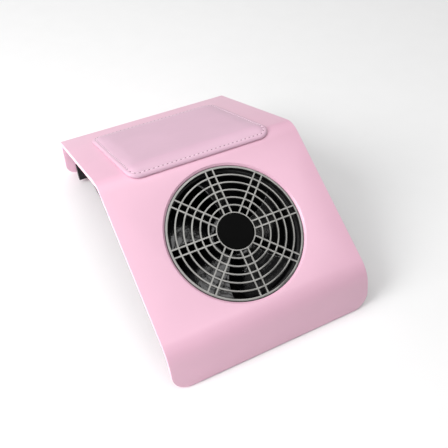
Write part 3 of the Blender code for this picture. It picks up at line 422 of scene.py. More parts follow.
def moulded(name, colour, roughness, mottle=0.03, grain=0.10, grain_size=0.25 * MM, coat=0.0, level=0.5,
            ior=1.5):
    """Moulded or painted stuff: a faint mottle, uneven gloss and a fine surface grain."""
    made, tree, shader = new_material(name)
    shader.inputs["IOR"].default_value = ior
    shader.inputs["Coat Weight"].default_value = coat
    shader.inputs["Coat Roughness"].default_value = 0.15
    shader.inputs["Specular IOR Level"].default_value = level
    cloud = texture(tree, "ShaderNodeTexNoise", scale=MOTTLE_SCALE, Detail=4.0)
    stops = [(0.3, tint(colour, 1.0 - mottle)), (0.7, tint(colour, 1.0 + mottle))]
    tree.links.new(ramp(tree, cloud.outputs["Fac"], stops), shader.inputs["Base Color"])
    gloss = spread(tree, cloud.outputs["Fac"], roughness * (1.0 - GLOSS_UNEVENNESS),
                   roughness * (1.0 + GLOSS_UNEVENNESS))
    tree.links.new(gloss, shader.inputs["Roughness"])
    fine = texture(tree, "ShaderNodeTexNoise", scale=1.0 / grain_size, Detail=2.0)
    bump(tree, shader, fine.outputs["Fac"], strength=grain, distance=grain_size * GRAIN_STEEPNESS)
    return made


def leather(name, colour):
    """Coated leather: pebbled grain, softer gloss in the grain's valleys and slow colour drift."""
    made, tree, shader = new_material(name)
    shader.inputs["Sheen Weight"].default_value = 0.12
    shader.inputs["Sheen Roughness"].default_value = 0.4
    drift = texture(tree, "ShaderNodeTexNoise", scale=22.0, Detail=5.0)
    stops = [(0.3, tint(colour, 0.97)), (0.7, tint(colour, 1.03))]
    tree.links.new(ramp(tree, drift.outputs["Fac"], stops), shader.inputs["Base Color"])
    pebble = texture(tree, "ShaderNodeTexVoronoi", scale=1150.0, feature="SMOOTH_F1")
    crease = texture(tree, "ShaderNodeTexNoise", scale=420.0, Detail=3.0)
    tree.links.new(spread(tree, pebble.outputs["Distance"], low=0.40, high=0.52), shader.inputs["Roughness"])
    first = bump(tree, shader, pebble.outputs["Distance"], strength=0.22, distance=0.10 * MM)
    bump(tree, shader, crease.outputs["Fac"], strength=0.12, distance=0.12 * MM, under=first)
    return made


def brushed(name, colour, roughness, stretch=(1.0, 1.0, 14.0)):
    """Metal with fine drawn lines along one direction and a little tarnish."""
    made, tree, shader = new_material(name)
    shader.inputs["Metallic"].default_value = 1.0
    lines = texture(tree, "ShaderNodeTexNoise", scale=500.0, stretch=stretch, Detail=3.0)
    tarnish = texture(tree, "ShaderNodeTexNoise", scale=90.0, Detail=5.0)
    stops = [(0.35, tint(colour, 0.86)), (0.65, tint(colour, 1.05))]
    tree.links.new(ramp(tree, tarnish.outputs["Fac"], stops), shader.inputs["Base Color"])
    tree.links.new(spread(tree, lines.outputs["Fac"], roughness * 0.8, roughness * 1.3),
                   shader.inputs["Roughness"])
    bump(tree, shader, lines.outputs["Fac"], strength=0.08, distance=0.04 * MM)
    return made


def fibres(name, light, dark):
    """Felted filter stock, foam and gasket: crossed fibres with open pores."""
    made, tree, shader = new_material(name)
    shader.inputs["Roughness"].default_value = 0.95
    shader.inputs["Sheen Weight"].default_value = 0.2
    strands = texture(tree, "ShaderNodeTexNoise", scale=900.0, stretch=(1.0, 0.35, 1.0), Detail=6.0,
                      Distortion=1.5)
    pores = texture(tree, "ShaderNodeTexVoronoi", scale=540.0)
    tree.links.new(ramp(tree, strands.outputs["Fac"], [(0.35, dark), (0.62, light)]),
                   shader.inputs["Base Color"])
    first = bump(tree, shader, strands.outputs["Fac"], strength=0.35, distance=0.25 * MM)
    bump(tree, shader, pores.outputs["Distance"], strength=0.21, distance=0.2 * MM, under=first)
    return made


def board_finish(name, colour, track):
    """A circuit board's solder mask, with raised tracks under it."""
    made, tree, shader = new_material(name)
    shader.inputs["Roughness"].default_value = 0.32
    shader.inputs["Coat Weight"].default_value = 0.3
    maze = texture(tree, "ShaderNodeTexVoronoi", scale=260.0, distance="CHEBYCHEV", feature="F1")
    tree.links.new(ramp(tree, maze.outputs["Distance"], [(0.30, colour), (0.36, track)]),
                   shader.inputs["Base Color"])
    bump(tree, shader, maze.outputs["Distance"], strength=0.15, distance=0.08 * MM)
    return made


def wound(name, colour):
    """Enamelled wire in close turns, with painted shade in the grooves between them."""
    made, tree, shader = new_material(name)
    shader.inputs["Metallic"].default_value = 0.9
    shader.inputs["Roughness"].default_value = 0.28
    turns = texture(tree, "ShaderNodeTexWave", scale=600.0, Distortion=0.4)
    # The grooves between the turns are darkened to a third of the copper colour: painted shade.
    tree.links.new(ramp(tree, turns.outputs["Fac"], [(0.1, tint(colour, 0.35)), (0.55, colour)]),
                   shader.inputs["Base Color"])
    bump(tree, shader, turns.outputs["Fac"], strength=0.6, distance=0.15 * MM)
    return made


plastic_pink = moulded("pink_plastic", (0.905, 0.545, 0.688), 0.30, mottle=0.012, grain=0.035,
                       grain_size=0.5 * MM)
leather_pink = leather("pink_leather", (0.800, 0.522, 0.655))
thread_pink = moulded("pink_thread", (0.95, 0.72, 0.81), 0.6, mottle=0.10, grain=0.5, grain_size=0.15 * MM)
# The needle holes are dark beads in this colour: painted shade, standing for the shade inside each hole.
needle_hole_shade = moulded("needle_hole", (0.16, 0.07, 0.10), 0.8, mottle=0.2)
guard_silver = brushed("guard_metal", (0.37, 0.365, 0.35), 0.40, (1.0, 1.0, 1.0))
gloss_black = moulded("black_gloss", (0.004, 0.004, 0.004), 0.65, mottle=0.25, grain=0.05, level=0.03)
blade_black = moulded("blade_gloss", (0.005, 0.005, 0.006), 0.09, mottle=0.25, grain=0.30,
                      grain_size=2.2 * MM, coat=0.5, level=0.6, ior=1.6)
plastic_black = moulded("black_plastic", (0.008, 0.008, 0.009), 0.42, mottle=0.2, grain=0.30, level=0.3)
cassette_black = moulded("cassette_black", (0.006, 0.006, 0.007), 0.24, mottle=0.2, grain=0.10, level=0.22)
rubber_black = moulded("black_rubber", (0.022, 0.022, 0.022), 0.80, mottle=0.3, grain=0.6,
                       grain_size=0.4 * MM)
pointer_white = moulded("pointer_white", (0.86, 0.86, 0.84), 0.4, mottle=0.03, grain=0.1)
FINISHES = {
    "pink_plastic": plastic_pink,
    "pink_leather": leather_pink,
    "board_plastic": moulded("board_plastic", (0.22, 0.20, 0.20), 0.7, mottle=0.15, grain=0.4),
    "guard_metal": guard_silver,
    "black_gloss": gloss_black,
    "black_plastic": plastic_black,
    "black_rubber": rubber_black,
    "black_foam": fibres("black_foam", (0.045, 0.045, 0.045), (0.012, 0.012, 0.012)),
    "steel": brushed("steel", (0.62, 0.63, 0.64), 0.28),
    "dark_steel": brushed("dark_steel", (0.20, 0.20, 0.21), 0.38, (14.0, 1.0, 1.0)),
    "copper": wound("copper", (0.78, 0.36, 0.17)),
    "brass": brushed("brass", (0.78, 0.60, 0.28), 0.26),
    "circuit_green": board_finish("circuit_green", (0.015, 0.12, 0.05), (0.03, 0.24, 0.10)),
    "terminal_green": moulded("terminal_green", (0.04, 0.32, 0.13), 0.42, mottle=0.08, grain=0.2),
    "filter_white": fibres("filter_white", (0.82, 0.82, 0.79), (0.50, 0.50, 0.48)),
    "red_plastic": moulded("red_plastic", (0.52, 0.015, 0.015), 0.22, mottle=0.06, grain=0.06, coat=0.3),
    "red_lead": moulded("red_lead", (0.48, 0.02, 0.02), 0.4, mottle=0.1, grain=0.15, grain_size=0.6 * MM),
    "aluminium": brushed("aluminium", (0.77, 0.78, 0.79), 0.34),
}


# ---- the bent plate
PLATE_EDGE = 0.75 * MM
TRIMMED_LENGTH = 6.0 * MM
CUTTER_REACH = 200.0 * MM
CUT_ABOVE = 3.0 * MM
CUT_BELOW = 8.0 * MM
BOSS_RADIUS = 3.6 * MM
BOSS_BORE = 1.8 * MM
BOSS_OVERLAP = 2.0 * MM
SCREW_BITE = 4.7 * MM


def make_plate():
    """The bent plate, trimmed to its lips' round corners, cut for the fan, with four screw bosses."""
    band = section_band(-PLATE, 0.0, reach=TRIMMED_LENGTH)
    skin = plate("plate_skin", [band], -HALF_WIDTH, HALF_WIDTH, SIDEWAYS)
    corner = (-HALF_WIDTH + LIP_CORNER, FOOT_CLEARANCE + LIP_CORNER)
    outline = arc(corner, LIP_CORNER, math.pi, 1.5 * math.pi, 18)
    outline += arc((-corner[0], corner[1]), LIP_CORNER, 1.5 * math.pi, 2.0 * math.pi, 18)
    outline += [(HALF_WIDTH, CUTTER_REACH), (-HALF_WIDTH, CUTTER_REACH)]
    boolean(skin, "INTERSECT", plate("plate_outline", [outline], -CUTTER_REACH, CUTTER_REACH, UPRIGHT))
    rim = OPENING_RADIUS + OPENING_CHAMFER
    opening = [(0.0, CUT_ABOVE), (rim + CUT_ABOVE, CUT_ABOVE), (OPENING_RADIUS, -OPENING_CHAMFER),
               (OPENING_RADIUS, -CUT_BELOW), (0.0, -CUT_BELOW)]
    boolean(skin, "DIFFERENCE", turned("plate_opening", opening, FAN_FRAME, 160))
    soften(skin, PLATE_EDGE)
    for number in range(1, 5):
        centre, low, high = middle(f"housing_screw_{number}")
        foot = high.z - SCREW_BITE
        top = roof_at(centre.y) + BOSS_OVERLAP
        boss = [(BOSS_RADIUS, top), (BOSS_RADIUS, foot), (BOSS_BORE, foot), (BOSS_BORE, top)]
        place_at = Matrix.Translation((centre.x, centre.y, 0.0))
        boolean(skin, "UNION", turned(f"plate_boss_{number}", boss, place_at, 32))
    smooth(skin)
    return show(skin, plastic_pink, "collector", "pink_plastic", "shell")


def roof_at(along):
    """Height of the plate's underside over a point on the table."""
    tilt = REAR_TILT if along > RIDGE.x else FAN_TILT
    return RIDGE.y - abs(along - RIDGE.x) * math.tan(tilt) - PLATE / math.cos(tilt)


make_plate()


# ---- the palm pad
PAD_RADIUS = 12.0 * MM
SEAM_INSET = 4.0 * MM
STITCH_PITCH = 4.2 * MM
PAD_WIDTH = pad_high.x - pad_low.x
PAD_END_GAP = 1.0 * MM
PAD_FLOOR = 0.3 * MM
HEM_INSET = 0.2 * MM
POCKET_INSET = 3.1 * MM
POCKET_HEIGHT = 2.1 * MM
# Height of the unswollen cover over the plate by its distance in from the pad's edge, in millimetres
COVER_PROFILE = ((0.0, 1.0), (0.5, 1.8), (1.1, 2.35), (1.8, 2.75), (2.6, 2.95), (3.3, 2.95), (4.0, 2.75),
                 (4.7, 3.05), (5.6, 3.45), (7.0, 3.85), (8.6, 4.1), (10.3, 4.2))
GRID_PITCH = 1.9 * MM
CLOTH_SCALE = 4.0
CLOTH_FRAMES = 20
CLOTH_LIMIT = 0.5 * MM
CLOTH_QUALITY = 6
CLOTH_MASS = 0.3
CLOTH_STIFFNESS = 30.0
CLOTH_BENDING = 20.0
CLOTH_PRESSURE = 1.6
PIN_REACH = 1.1 * MM
SEAM_SLACK = 0.02 * MM
STITCH_SIZE = (1.40 * MM, 0.42 * MM, 0.34 * MM)
STITCH_SINK = 0.02 * MM
STITCH_SLANT = math.radians(12.0)
# The dark beads of painted shade at the needle holes: their size, and how far they sink into the cover.
HOLE_SHADE_SIZE = (0.60 * MM, 0.42 * MM, 0.20 * MM)
HOLE_SHADE_SINK = 0.04 * MM
OVER_PAD = 20.0 * MM


class DevelopedPlate:
    """The plate's outer face unrolled: distance along the section, zero at the pad's front edge."""

    def __init__(self):
        self.points = [Vector(point) for point in section_line(0.0, fineness=3)]
        self.lengths = [0.0]
        for a, b in zip(self.points, self.points[1:]):
            self.lengths.append(self.lengths[-1] + (b - a).length)
        directions = [(b - a).normalized() for a, b in zip(self.points, self.points[1:])]
        self.normals = []
        for i in range(len(self.points)):
            direction = directions[max(i - 1, 0)] + directions[min(i, len(directions) - 1)]
            self.normals.append(Vector((-direction.y, direction.x)).normalized())
        self.start = self.length_at(pad_low.y + PAD_END_GAP)
        self.end = self.length_at(pad_high.y - PAD_END_GAP)

    def length_at(self, along):
        """Distance along the section to where it passes a Y value."""
        for a, b, length in zip(self.points, self.points[1:], self.lengths):
            if a.x <= along <= b.x:
                return length + (b - a).length * (along - a.x) / (b.x - a.x)
        raise ValueError("the section doesn't reach that far")

    def lay(self, across, along, height):
        """Place a point of the flat pad on the bent plate."""
        target = self.start + along
        i = 0
        while i < len(self.points) - 2 and self.lengths[i + 1] < target:
            i += 1
        share = (target - self.lengths[i]) / (self.lengths[i + 1] - self.lengths[i])
        point = self.points[i].lerp(self.points[i + 1], share)
        normal = self.normals[i].lerp(self.normals[i + 1], share).normalized()
        place_at = point + normal * height
        return Vector((across, place_at.x, place_at.y))


plate_face = DevelopedPlate()
PAD_LENGTH = plate_face.end - plate_face.start


def graded_line(span):
    """Distances from one edge of the pad to the other, fine near both edges."""
    edge = [inset * MM for inset, height in COVER_PROFILE]
    between = span - 2.0 * edge[-1]
    count = round(between / GRID_PITCH)
    inner = [edge[-1] + between * i / count for i in range(1, count)]
    return edge + inner + [span - inset for inset in reversed(edge)]


def rounded_place(x, y, half_x, half_y):
    """Pull a point of the square grid in, so that the rings near the edge have round corners."""
    inset_x, inset_y = half_x - abs(x), half_y - abs(y)
    inset = min(inset_x, inset_y)
    radius = PAD_RADIUS - inset
    reach = max(inset_x, inset_y) - inset
    if radius <= 0.0 or reach >= radius:
        return x, y
    swing = math.pi / 4.0 * (1.0 - reach / radius)
    angle = swing if inset_x < inset_y else math.pi / 2.0 - swing
    centre_x, centre_y = half_x - inset - radius, half_y - inset - radius
    return (math.copysign(centre_x + radius * math.cos(angle), x),
            math.copysign(centre_y + radius * math.sin(angle), y))


def cover_height(inset):
    """The pad's top, before the cloth run, at a distance in from its edge."""
    for (a, low), (b, high) in zip(COVER_PROFILE, COVER_PROFILE[1:]):
        if inset <= b * MM + ROUNDING:
            return (low + (high - low) * (inset / MM - a) / (b - a)) * MM
    return COVER_PROFILE[-1][1] * MM


def liner_height(inset):
    """The pad's underside: flat on the plate at the hem, with a pocket for the board."""
    if inset > POCKET_INSET:
        return POCKET_HEIGHT
    return PAD_FLOOR if inset > HEM_INSET else COVER_PROFILE[0][1] * MM


def flat_pad():
    """The pad unrolled flat: one closed surface, whose two sheets share the points of their edge."""
    half_x, half_y = PAD_WIDTH / 2.0, PAD_LENGTH / 2.0
    columns = [value - half_x for value in graded_line(PAD_WIDTH)]
    rows = [value - half_y for value in graded_line(PAD_LENGTH)]
    builder = bmesh.new()
    sheets = []
    for height_of in (cover_height, liner_height):
        grid = {}
        for i, x in enumerate(columns):
            for j, y in enumerate(rows):
                inset = min(half_x - abs(x), half_y - abs(y))
                if inset < ROUNDING and sheets:
                    grid[i, j] = sheets[0][i, j]
                    continue
                place_at = rounded_place(x, y, half_x, half_y)
                grid[i, j] = builder.verts.new((*place_at, height_of(inset)))
        sheets.append(grid)
    for number, grid in enumerate(sheets):
        for i in range(len(columns) - 1):
            for j in range(len(rows) - 1):
                corners = [grid[i, j], grid[i + 1, j], grid[i + 1, j + 1], grid[i, j + 1]]
                builder.faces.new(corners if number == 0 else corners[::-1])
    return mesh_from(builder, "pad_cover")


def seam_points(inset, spacing):
    """Evenly spaced points on the seam, with the seam's direction at each."""
    half_x, half_y = PAD_WIDTH / 2.0 - inset, PAD_LENGTH / 2.0 - inset
    outline = rounded_rectangle((-half_x, -half_y), (half_x, half_y), PAD_RADIUS - inset, 24)
    line = [Vector(point) for point in outline + outline[:1]]
    total = sum((b - a).length for a, b in zip(line, line[1:]))
    count = round(total / spacing)
    found = []
    travelled = 0.0
    for a, b in zip(line, line[1:]):
        step = (b - a).length
        while len(found) < count and total * len(found) / count <= travelled + step:
            share = (total * len(found) / count - travelled) / step if step else 0.0
            found.append((a.lerp(b, share), (b - a).normalized()))
        travelled += step
    return found


def swell_cover(mesh):
    """Swell the cover between its seams with a short cloth simulation, run at CLOTH_SCALE times life size."""
    piece = link("pad_cloth", mesh, Matrix.Scale(CLOTH_SCALE, 4))
    settle(piece)
    holes = [point for point, direction in seam_points(SEAM_INSET, STITCH_PITCH)]
    start = [vertex.co.copy() for vertex in piece.data.vertices]
    pins = piece.vertex_groups.new(name="pins")
    seam_height = cover_height(SEAM_INSET) + SEAM_SLACK
    for vertex in piece.data.vertices:
        at = vertex.co / CLOTH_SCALE
        hem = at.z < COVER_PROFILE[0][1] * MM + ROUNDING
        if hem or (at.z < seam_height and min((at.xy - hole).length for hole in holes) < PIN_REACH):
            pins.add([vertex.index], 1.0, "REPLACE")
    cloth = piece.modifiers.new("cloth", "CLOTH")
    cloth.settings.vertex_group_mass = "pins"
    cloth.settings.quality = CLOTH_QUALITY
    cloth.settings.mass = CLOTH_MASS
    cloth.settings.tension_stiffness = CLOTH_STIFFNESS
    cloth.settings.compression_stiffness = CLOTH_STIFFNESS
    cloth.settings.bending_stiffness = CLOTH_BENDING
    cloth.settings.use_pressure = True
    cloth.settings.uniform_pressure_force = CLOTH_PRESSURE
    cloth.settings.effector_weights.gravity = 0.0
    cloth.collision_settings.use_collision = False
    cloth.collision_settings.use_self_collision = False
    for number in range(1, CLOTH_FRAMES + 1):
        scene.frame_set(number)
    settle(piece)
    scene.frame_set(1)
    for vertex, before in zip(piece.data.vertices, start):
        moved = (vertex.co - before) / CLOTH_SCALE
        if moved.length > CLOTH_LIMIT:
            moved *= CLOTH_LIMIT / moved.length
        vertex.co = before / CLOTH_SCALE + moved
    return piece


def make_pad():
    """The sewn cover with its stitches and dark beads of painted shade at its needle holes, made flat and
    then laid on the bent plate.
    """
    mesh = flat_pad()
    cover = swell_cover(mesh)
    cover.name = "pad_cover"
    subdivided = cover.modifiers.new("fine", "SUBSURF")
    subdivided.levels = 1
    subdivided.render_levels = 1
    settle(cover)
    surface = BVHTree.FromObject(cover, bpy.context.evaluated_depsgraph_get())
    stitches = bmesh.new()
    # holes collects the dark beads of painted shade at the needle holes.
    holes = bmesh.new()
    for point, direction in seam_points(SEAM_INSET, STITCH_PITCH):
        heading = math.atan2(direction.y, direction.x)
        lay_bead(stitches, surface, point, STITCH_SINK, heading + STITCH_SLANT, STITCH_SIZE)
        lay_bead(holes, surface, point + direction * STITCH_PITCH / 2.0, HOLE_SHADE_SINK, heading, HOLE_SHADE_SIZE)
    roll_on(cover.data)
    cover.data.shade_smooth()
    show(cover, leather_pink, "collector", "pink_leather", "palm_pad")
    sewn = (("pad_stitching", stitches, thread_pink), ("pad_needle_holes", holes, needle_hole_shade))
    for name, builder, finish in sewn:
        piece = link(name, mesh_from(builder, name))
        roll_on(piece.data)
        piece.data.shade_smooth()
        show(piece, finish, "collector", "pink_leather")


def lay_bead(builder, surface, point, sink, heading, size):
    """One stitch, or a dark bead of painted shade at a needle hole: a long bead lying on the cover at a
    heading, sunk a little into it.
    """
    height = surface.ray_cast(Vector((*point, OVER_PAD)), Vector((0.0, 0.0, -1.0)))[0].z
    stretch = Matrix.Diagonal((*size, 1.0))
    turn = Matrix.Translation((*point, height - sink)) @ Matrix.Rotation(heading, 4, "Z")
    bmesh.ops.create_uvsphere(builder, u_segments=10, v_segments=6, radius=1.0,
                              matrix=turn @ stretch @ Matrix.Rotation(math.pi / 2.0, 4, "Y"))


def roll_on(mesh):
    """Carry a flat mesh onto the bent plate."""
    for vertex in mesh.vertices:
        vertex.co = plate_face.lay(vertex.co.x, vertex.co.y + PAD_LENGTH / 2.0, vertex.co.z)
    mesh.update()


make_pad()


# ---- finger guard
GUARD_TOP = -1.5 * MM
GUARD_DEPTH = 2.5 * MM
GUARD_RADIUS = 60.3 * MM
GUARD_RIM = 1.8 * MM
GUARD_RIB = 1.3 * MM
GUARD_RINGS = 5
GUARD_HUB = 17.4 * MM
GUARD_SPOKES = 8
SPOKE_OFFSET = 3.45 * MM
GUARD_EDGE = 0.32 * MM
RECESS_WALL = 0.9 * MM
RECESS_DEPTH = 1.2 * MM
CAP_GAP = 1.2 * MM
CAP_RISE = 0.5 * MM
CAP_DEPTH = 0.9 * MM
CAP_ROUND = 0.7 * MM
FLANGE_HALF = 59.5 * MM
FLANGE_CORNER = 6.0 * MM
FLANGE_TOP = -5.3 * MM
FLANGE_BOTTOM = -7.3 * MM
FLANGE_EDGE = 0.25 * MM
SCREW_HOLE = 2.4 * MM
SCREW_HALF_PITCH = 52.5 * MM
SCREW_SPOTS = [(x * SCREW_HALF_PITCH, y * SCREW_HALF_PITCH) for x in (-1, 1) for y in (-1, 1)]


def ring_gap(near, far, start, end, offset, steps):
    """The outline of one gap between two radii and between two spoke lines, each offset from its axis."""
    far_turn = math.asin(offset / far)
    near_turn = math.asin(offset / near)
    return (arc((0.0, 0.0), far, start + far_turn, end - far_turn, steps)
            + arc((0.0, 0.0), near, end - near_turn, start + near_turn, steps))


def guard_gaps():
    """Outlines of the air gaps: wide ones between the spoke pairs, narrow ones inside each pair."""
    outer = GUARD_RADIUS - GUARD_RIM
    pitch = (outer - GUARD_HUB + GUARD_RIB) / (GUARD_RINGS + 1)
    wide = SPOKE_OFFSET + GUARD_RIB / 2.0
    narrow = SPOKE_OFFSET - GUARD_RIB / 2.0
    turn = math.tau / GUARD_SPOKES
    gaps = []
    for ring in range(GUARD_RINGS + 1):
        near = GUARD_HUB + ring * pitch
        far = near + pitch - GUARD_RIB
        for spoke in range(GUARD_SPOKES):
            axis = turn * (spoke + 0.5)
            gaps.append(ring_gap(near, far, axis, axis + turn, wide, 10))
            gaps.append(ring_gap(near, far, axis, axis, -narrow, 2))
    return gaps


def make_grille():
    """Rings, double spokes and hub in one flat sheet, with a recess for the cap."""
    half_pitch = Matrix.Rotation(math.pi / GUARD_SPOKES, 4, "Z")
    loops = [circle(GUARD_RADIUS, 144)] + guard_gaps()
    guard = plate("guard_grille", loops, GUARD_TOP - GUARD_DEPTH, GUARD_TOP, FAN_FRAME @ half_pitch)
    radius = GUARD_HUB - RECESS_WALL
    recess = [(0.0, GUARD_TOP + MM), (radius, GUARD_TOP + MM), (radius, GUARD_TOP - RECESS_DEPTH),
              (0.0, GUARD_TOP - RECESS_DEPTH)]
    boolean(guard, "DIFFERENCE", turned("guard_recess", recess, FAN_FRAME, 96))
    soften(guard, GUARD_EDGE, 2)
    show(guard, guard_silver, "collector", "guard_metal", "finger_guard")


def make_guard_mount():
    """The square flange under the plate and the collar that carries the grille."""
    bore = GUARD_RADIUS - GUARD_RIM
    flange = [rounded_rectangle((-FLANGE_HALF, -FLANGE_HALF), (FLANGE_HALF, FLANGE_HALF), FLANGE_CORNER),
              circle(bore + 0.5 * MM, 144)]
    flange += [circle(SCREW_HOLE, 24, spot) for spot in SCREW_SPOTS]
    mount = plate("guard_mount", flange, FLANGE_BOTTOM, FLANGE_TOP, FAN_FRAME)
    outer, inner = GUARD_RADIUS - 0.2 * MM, bore + 0.2 * MM
    top, bottom = GUARD_TOP - GUARD_DEPTH, FLANGE_BOTTOM + 0.1 * MM
    collar = [(outer, top), (outer, bottom), (inner, bottom), (inner, top)]
    soften(mount, FLANGE_EDGE, 2)
    boolean(mount, "UNION", turned("guard_collar", collar, FAN_FRAME, 144))
    smooth(mount)
    show(mount, FINISHES["dark_steel"], "collector", "guard_metal")


def make_guard_cap():
    """The round cap that fills the recess of the hub."""
    radius = GUARD_HUB - CAP_GAP
    top, bottom = GUARD_TOP + CAP_RISE, GUARD_TOP - CAP_DEPTH
    shoulder, chamfer = radius - 1.2 * MM, 0.15 * MM
    cap = [(0.0, top), (shoulder, top)]
    cap += arc((shoulder, top - CAP_ROUND), CAP_ROUND, math.radians(80.0), math.radians(10.0), 5)
    cap += [(radius, top - 0.8 * MM), (radius, bottom + chamfer), (radius - chamfer, bottom), (0.0, bottom)]
    disc = smooth(turned("guard_cap", cap, FAN_FRAME, 96))
    show(disc, gloss_black, "collector", "black_gloss", "guard_hub_cap")


make_grille()
make_guard_mount()
make_guard_cap()

# ---- fan rotor
ROTOR_RADIUS = 20.5 * MM
ROTOR_TOP = -12.4 * MM
ROTOR_BOTTOM = -35.9 * MM
ROTOR_WALL = 1.8 * MM
BLADE_TIP = 56.3 * MM
BLADE_COUNT = 5
BLADE_WRAP = math.radians(62.0)
BLADE_WRAP_LOSS = math.radians(8.0)
BLADE_SWEEP = math.radians(14.0)
BLADE_REST_ANGLE = math.radians(-37.0)
BLADE_THICKNESS = 1.4 * MM
BLADE_EDGE = 0.5 * MM
BLADE_BULGE = 0.12
BLADE_SHORTENING = 1.02


def fan_blade(number):
    """One blade, wound round the hub, with round edges."""
    root = ROTOR_RADIUS - 0.9 * MM
    bottom = ROTOR_BOTTOM + MM
    rise = ROTOR_TOP - MM - bottom
    builder = bmesh.new()
    bmesh.ops.create_grid(builder, x_segments=14, y_segments=20, size=0.5)
    for vertex in builder.verts:
        outward, along = vertex.co.x + 0.5, vertex.co.y + 0.5
        radius = root + (BLADE_TIP - 0.2 * MM - root) * outward
        angle = (BLADE_WRAP - BLADE_WRAP_LOSS * outward) * along + BLADE_SWEEP * outward * outward
        height = bottom + rise * (along + BLADE_BULGE * math.sin(math.pi * along)) / BLADE_SHORTENING
        vertex.co = (radius * math.cos(angle), radius * math.sin(angle), height)
    turn = Matrix.Rotation(BLADE_REST_ANGLE + math.tau * number / BLADE_COUNT, 4, "Z")
    blade = link(f"blade_{number + 1}", mesh_from(builder, "blade"), FAN_FRAME @ turn)
    skin = blade.modifiers.new("thickness", "SOLIDIFY")
    skin.thickness = BLADE_THICKNESS
    skin.offset = 0.0
    settle(blade)
    return soften(blade, BLADE_EDGE, 2, STEEP_ANGLE)


def make_rotor():
    """The hub, a cup with a boss inside for the shaft, and its blades."""
    inside = ROTOR_RADIUS - ROTOR_WALL
    dish, dish_radius, round_off, chamfer = 0.6 * MM, 8.0 * MM, 2.2 * MM, 0.3 * MM
    roof, boss_foot, bore_top = ROTOR_TOP - 2.5 * MM, ROTOR_TOP - 4.5 * MM, ROTOR_TOP - 1.3 * MM
    boss, bore = 4.0 * MM, 1.8 * MM
    crown = [(0.0, ROTOR_TOP - dish), (dish_radius, ROTOR_TOP - dish), (dish_radius + dish, ROTOR_TOP)]
    shoulder = arc((ROTOR_RADIUS - round_off, ROTOR_TOP - round_off), round_off, math.pi / 2.0, 0.0, 8)
    skirt = [(ROTOR_RADIUS, ROTOR_BOTTOM + chamfer), (ROTOR_RADIUS - chamfer, ROTOR_BOTTOM),
             (inside, ROTOR_BOTTOM), (inside, roof), (boss, roof), (boss, boss_foot), (bore, boss_foot),
             (bore, bore_top), (0.0, bore_top)]
    rotor = turned("rotor_wheel", crown + shoulder + skirt, FAN_FRAME, 96)
    boolean(rotor, "UNION", *[fan_blade(number) for number in range(BLADE_COUNT)])
    smooth(rotor)
    show(rotor, blade_black, "rotor", "black_plastic", "fan_rotor")


make_rotor()


# ---- pieces remade over their frame shape
def refined(name, node, material, body, width, segments=2):
    """The frame piece's own form, with its flat faces joined up and its edges rounded."""
    source = bpy.data.objects[node]
    mesh = source.data.copy()
    mesh.transform(source.matrix_world)
    piece = link(name, mesh)
    builder = bmesh.new()
    builder.from_mesh(mesh)
    bmesh.ops.remove_doubles(builder, verts=builder.verts, dist=0.01 * MM)
    bmesh.ops.dissolve_limit(builder, angle_limit=math.radians(1.5), verts=builder.verts, edges=builder.edges)
    builder.to_mesh(mesh)
    builder.free()
    soften(piece, width, segments, STEEP_ANGLE)
    return show(piece, material, body, slots[node], node)


refined("housing_fine", "base_housing", plastic_black, "collector", 0.5 * MM)
refined("cover_fine", "bottom_cover", plastic_black, "collector", 0.4 * MM)
refined("fan_frame_fine", "fan_frame", plastic_black, "collector", 0.3 * MM)
refined("cassette_fine", "filter_cassette", cassette_black, "cassette", 0.6 * MM, 3)
refined("mat_fine", "filter_mat", FINISHES["filter_white"], "cassette", 0.6 * MM, 3)
refined("switch_fine", "switch_body", plastic_black, "collector", 0.4 * MM, 3)
refined("rocker_fine", "switch_rocker", FINISHES["red_plastic"], "rocker", 0.5 * MM, 3)
refined("speed_nut_fine", "speed_nut", FINISHES["brass"], "collector", 0.25 * MM)


# ---- feet, screws and controls
SMALL_EDGE = 0.12 * MM
FOOT_ROUND = 0.7 * MM
FOOT_RIM = 2.0 * MM
FOOT_DISH = 0.4 * MM
CROSS_HALF_WIDTH = 0.3 * MM
CROSS_DEPTH = 0.9 * MM
KNOB_TAPER = 0.9 * MM
KNOB_FLUTES = 24
FLUTE_RADIUS = 0.8 * MM
FLUTE_OFFSET = 0.35 * MM
CHANNEL_HALF = 0.6 * MM
CHANNEL_DEPTH = 0.8 * MM
CHANNEL_END = 3.5 * MM


def make_feet():
    """Round rubber feet with a shallow dish in each sole."""
    for number in range(1, 5):
        node = f"rubber_foot_{number}"
        centre, low, high = middle(node)
        radius = (high.x - low.x) / 2.0
        rim, dish = radius - FOOT_RIM, low.z + FOOT_DISH
        profile = [(0.0, high.z), (radius, high.z)]
        profile += arc((radius - FOOT_ROUND, low.z + FOOT_ROUND), FOOT_ROUND, 0.0, math.radians(-80.0), 6)
        profile += [(rim, low.z), (rim - 0.6 * MM, dish), (0.0, dish)]
        foot = turned(f"foot_{number}", profile, Matrix.Translation((centre.x, centre.y, 0.0)), 64)
        show(smooth(foot), rubber_black, "collector", slots[node], node)


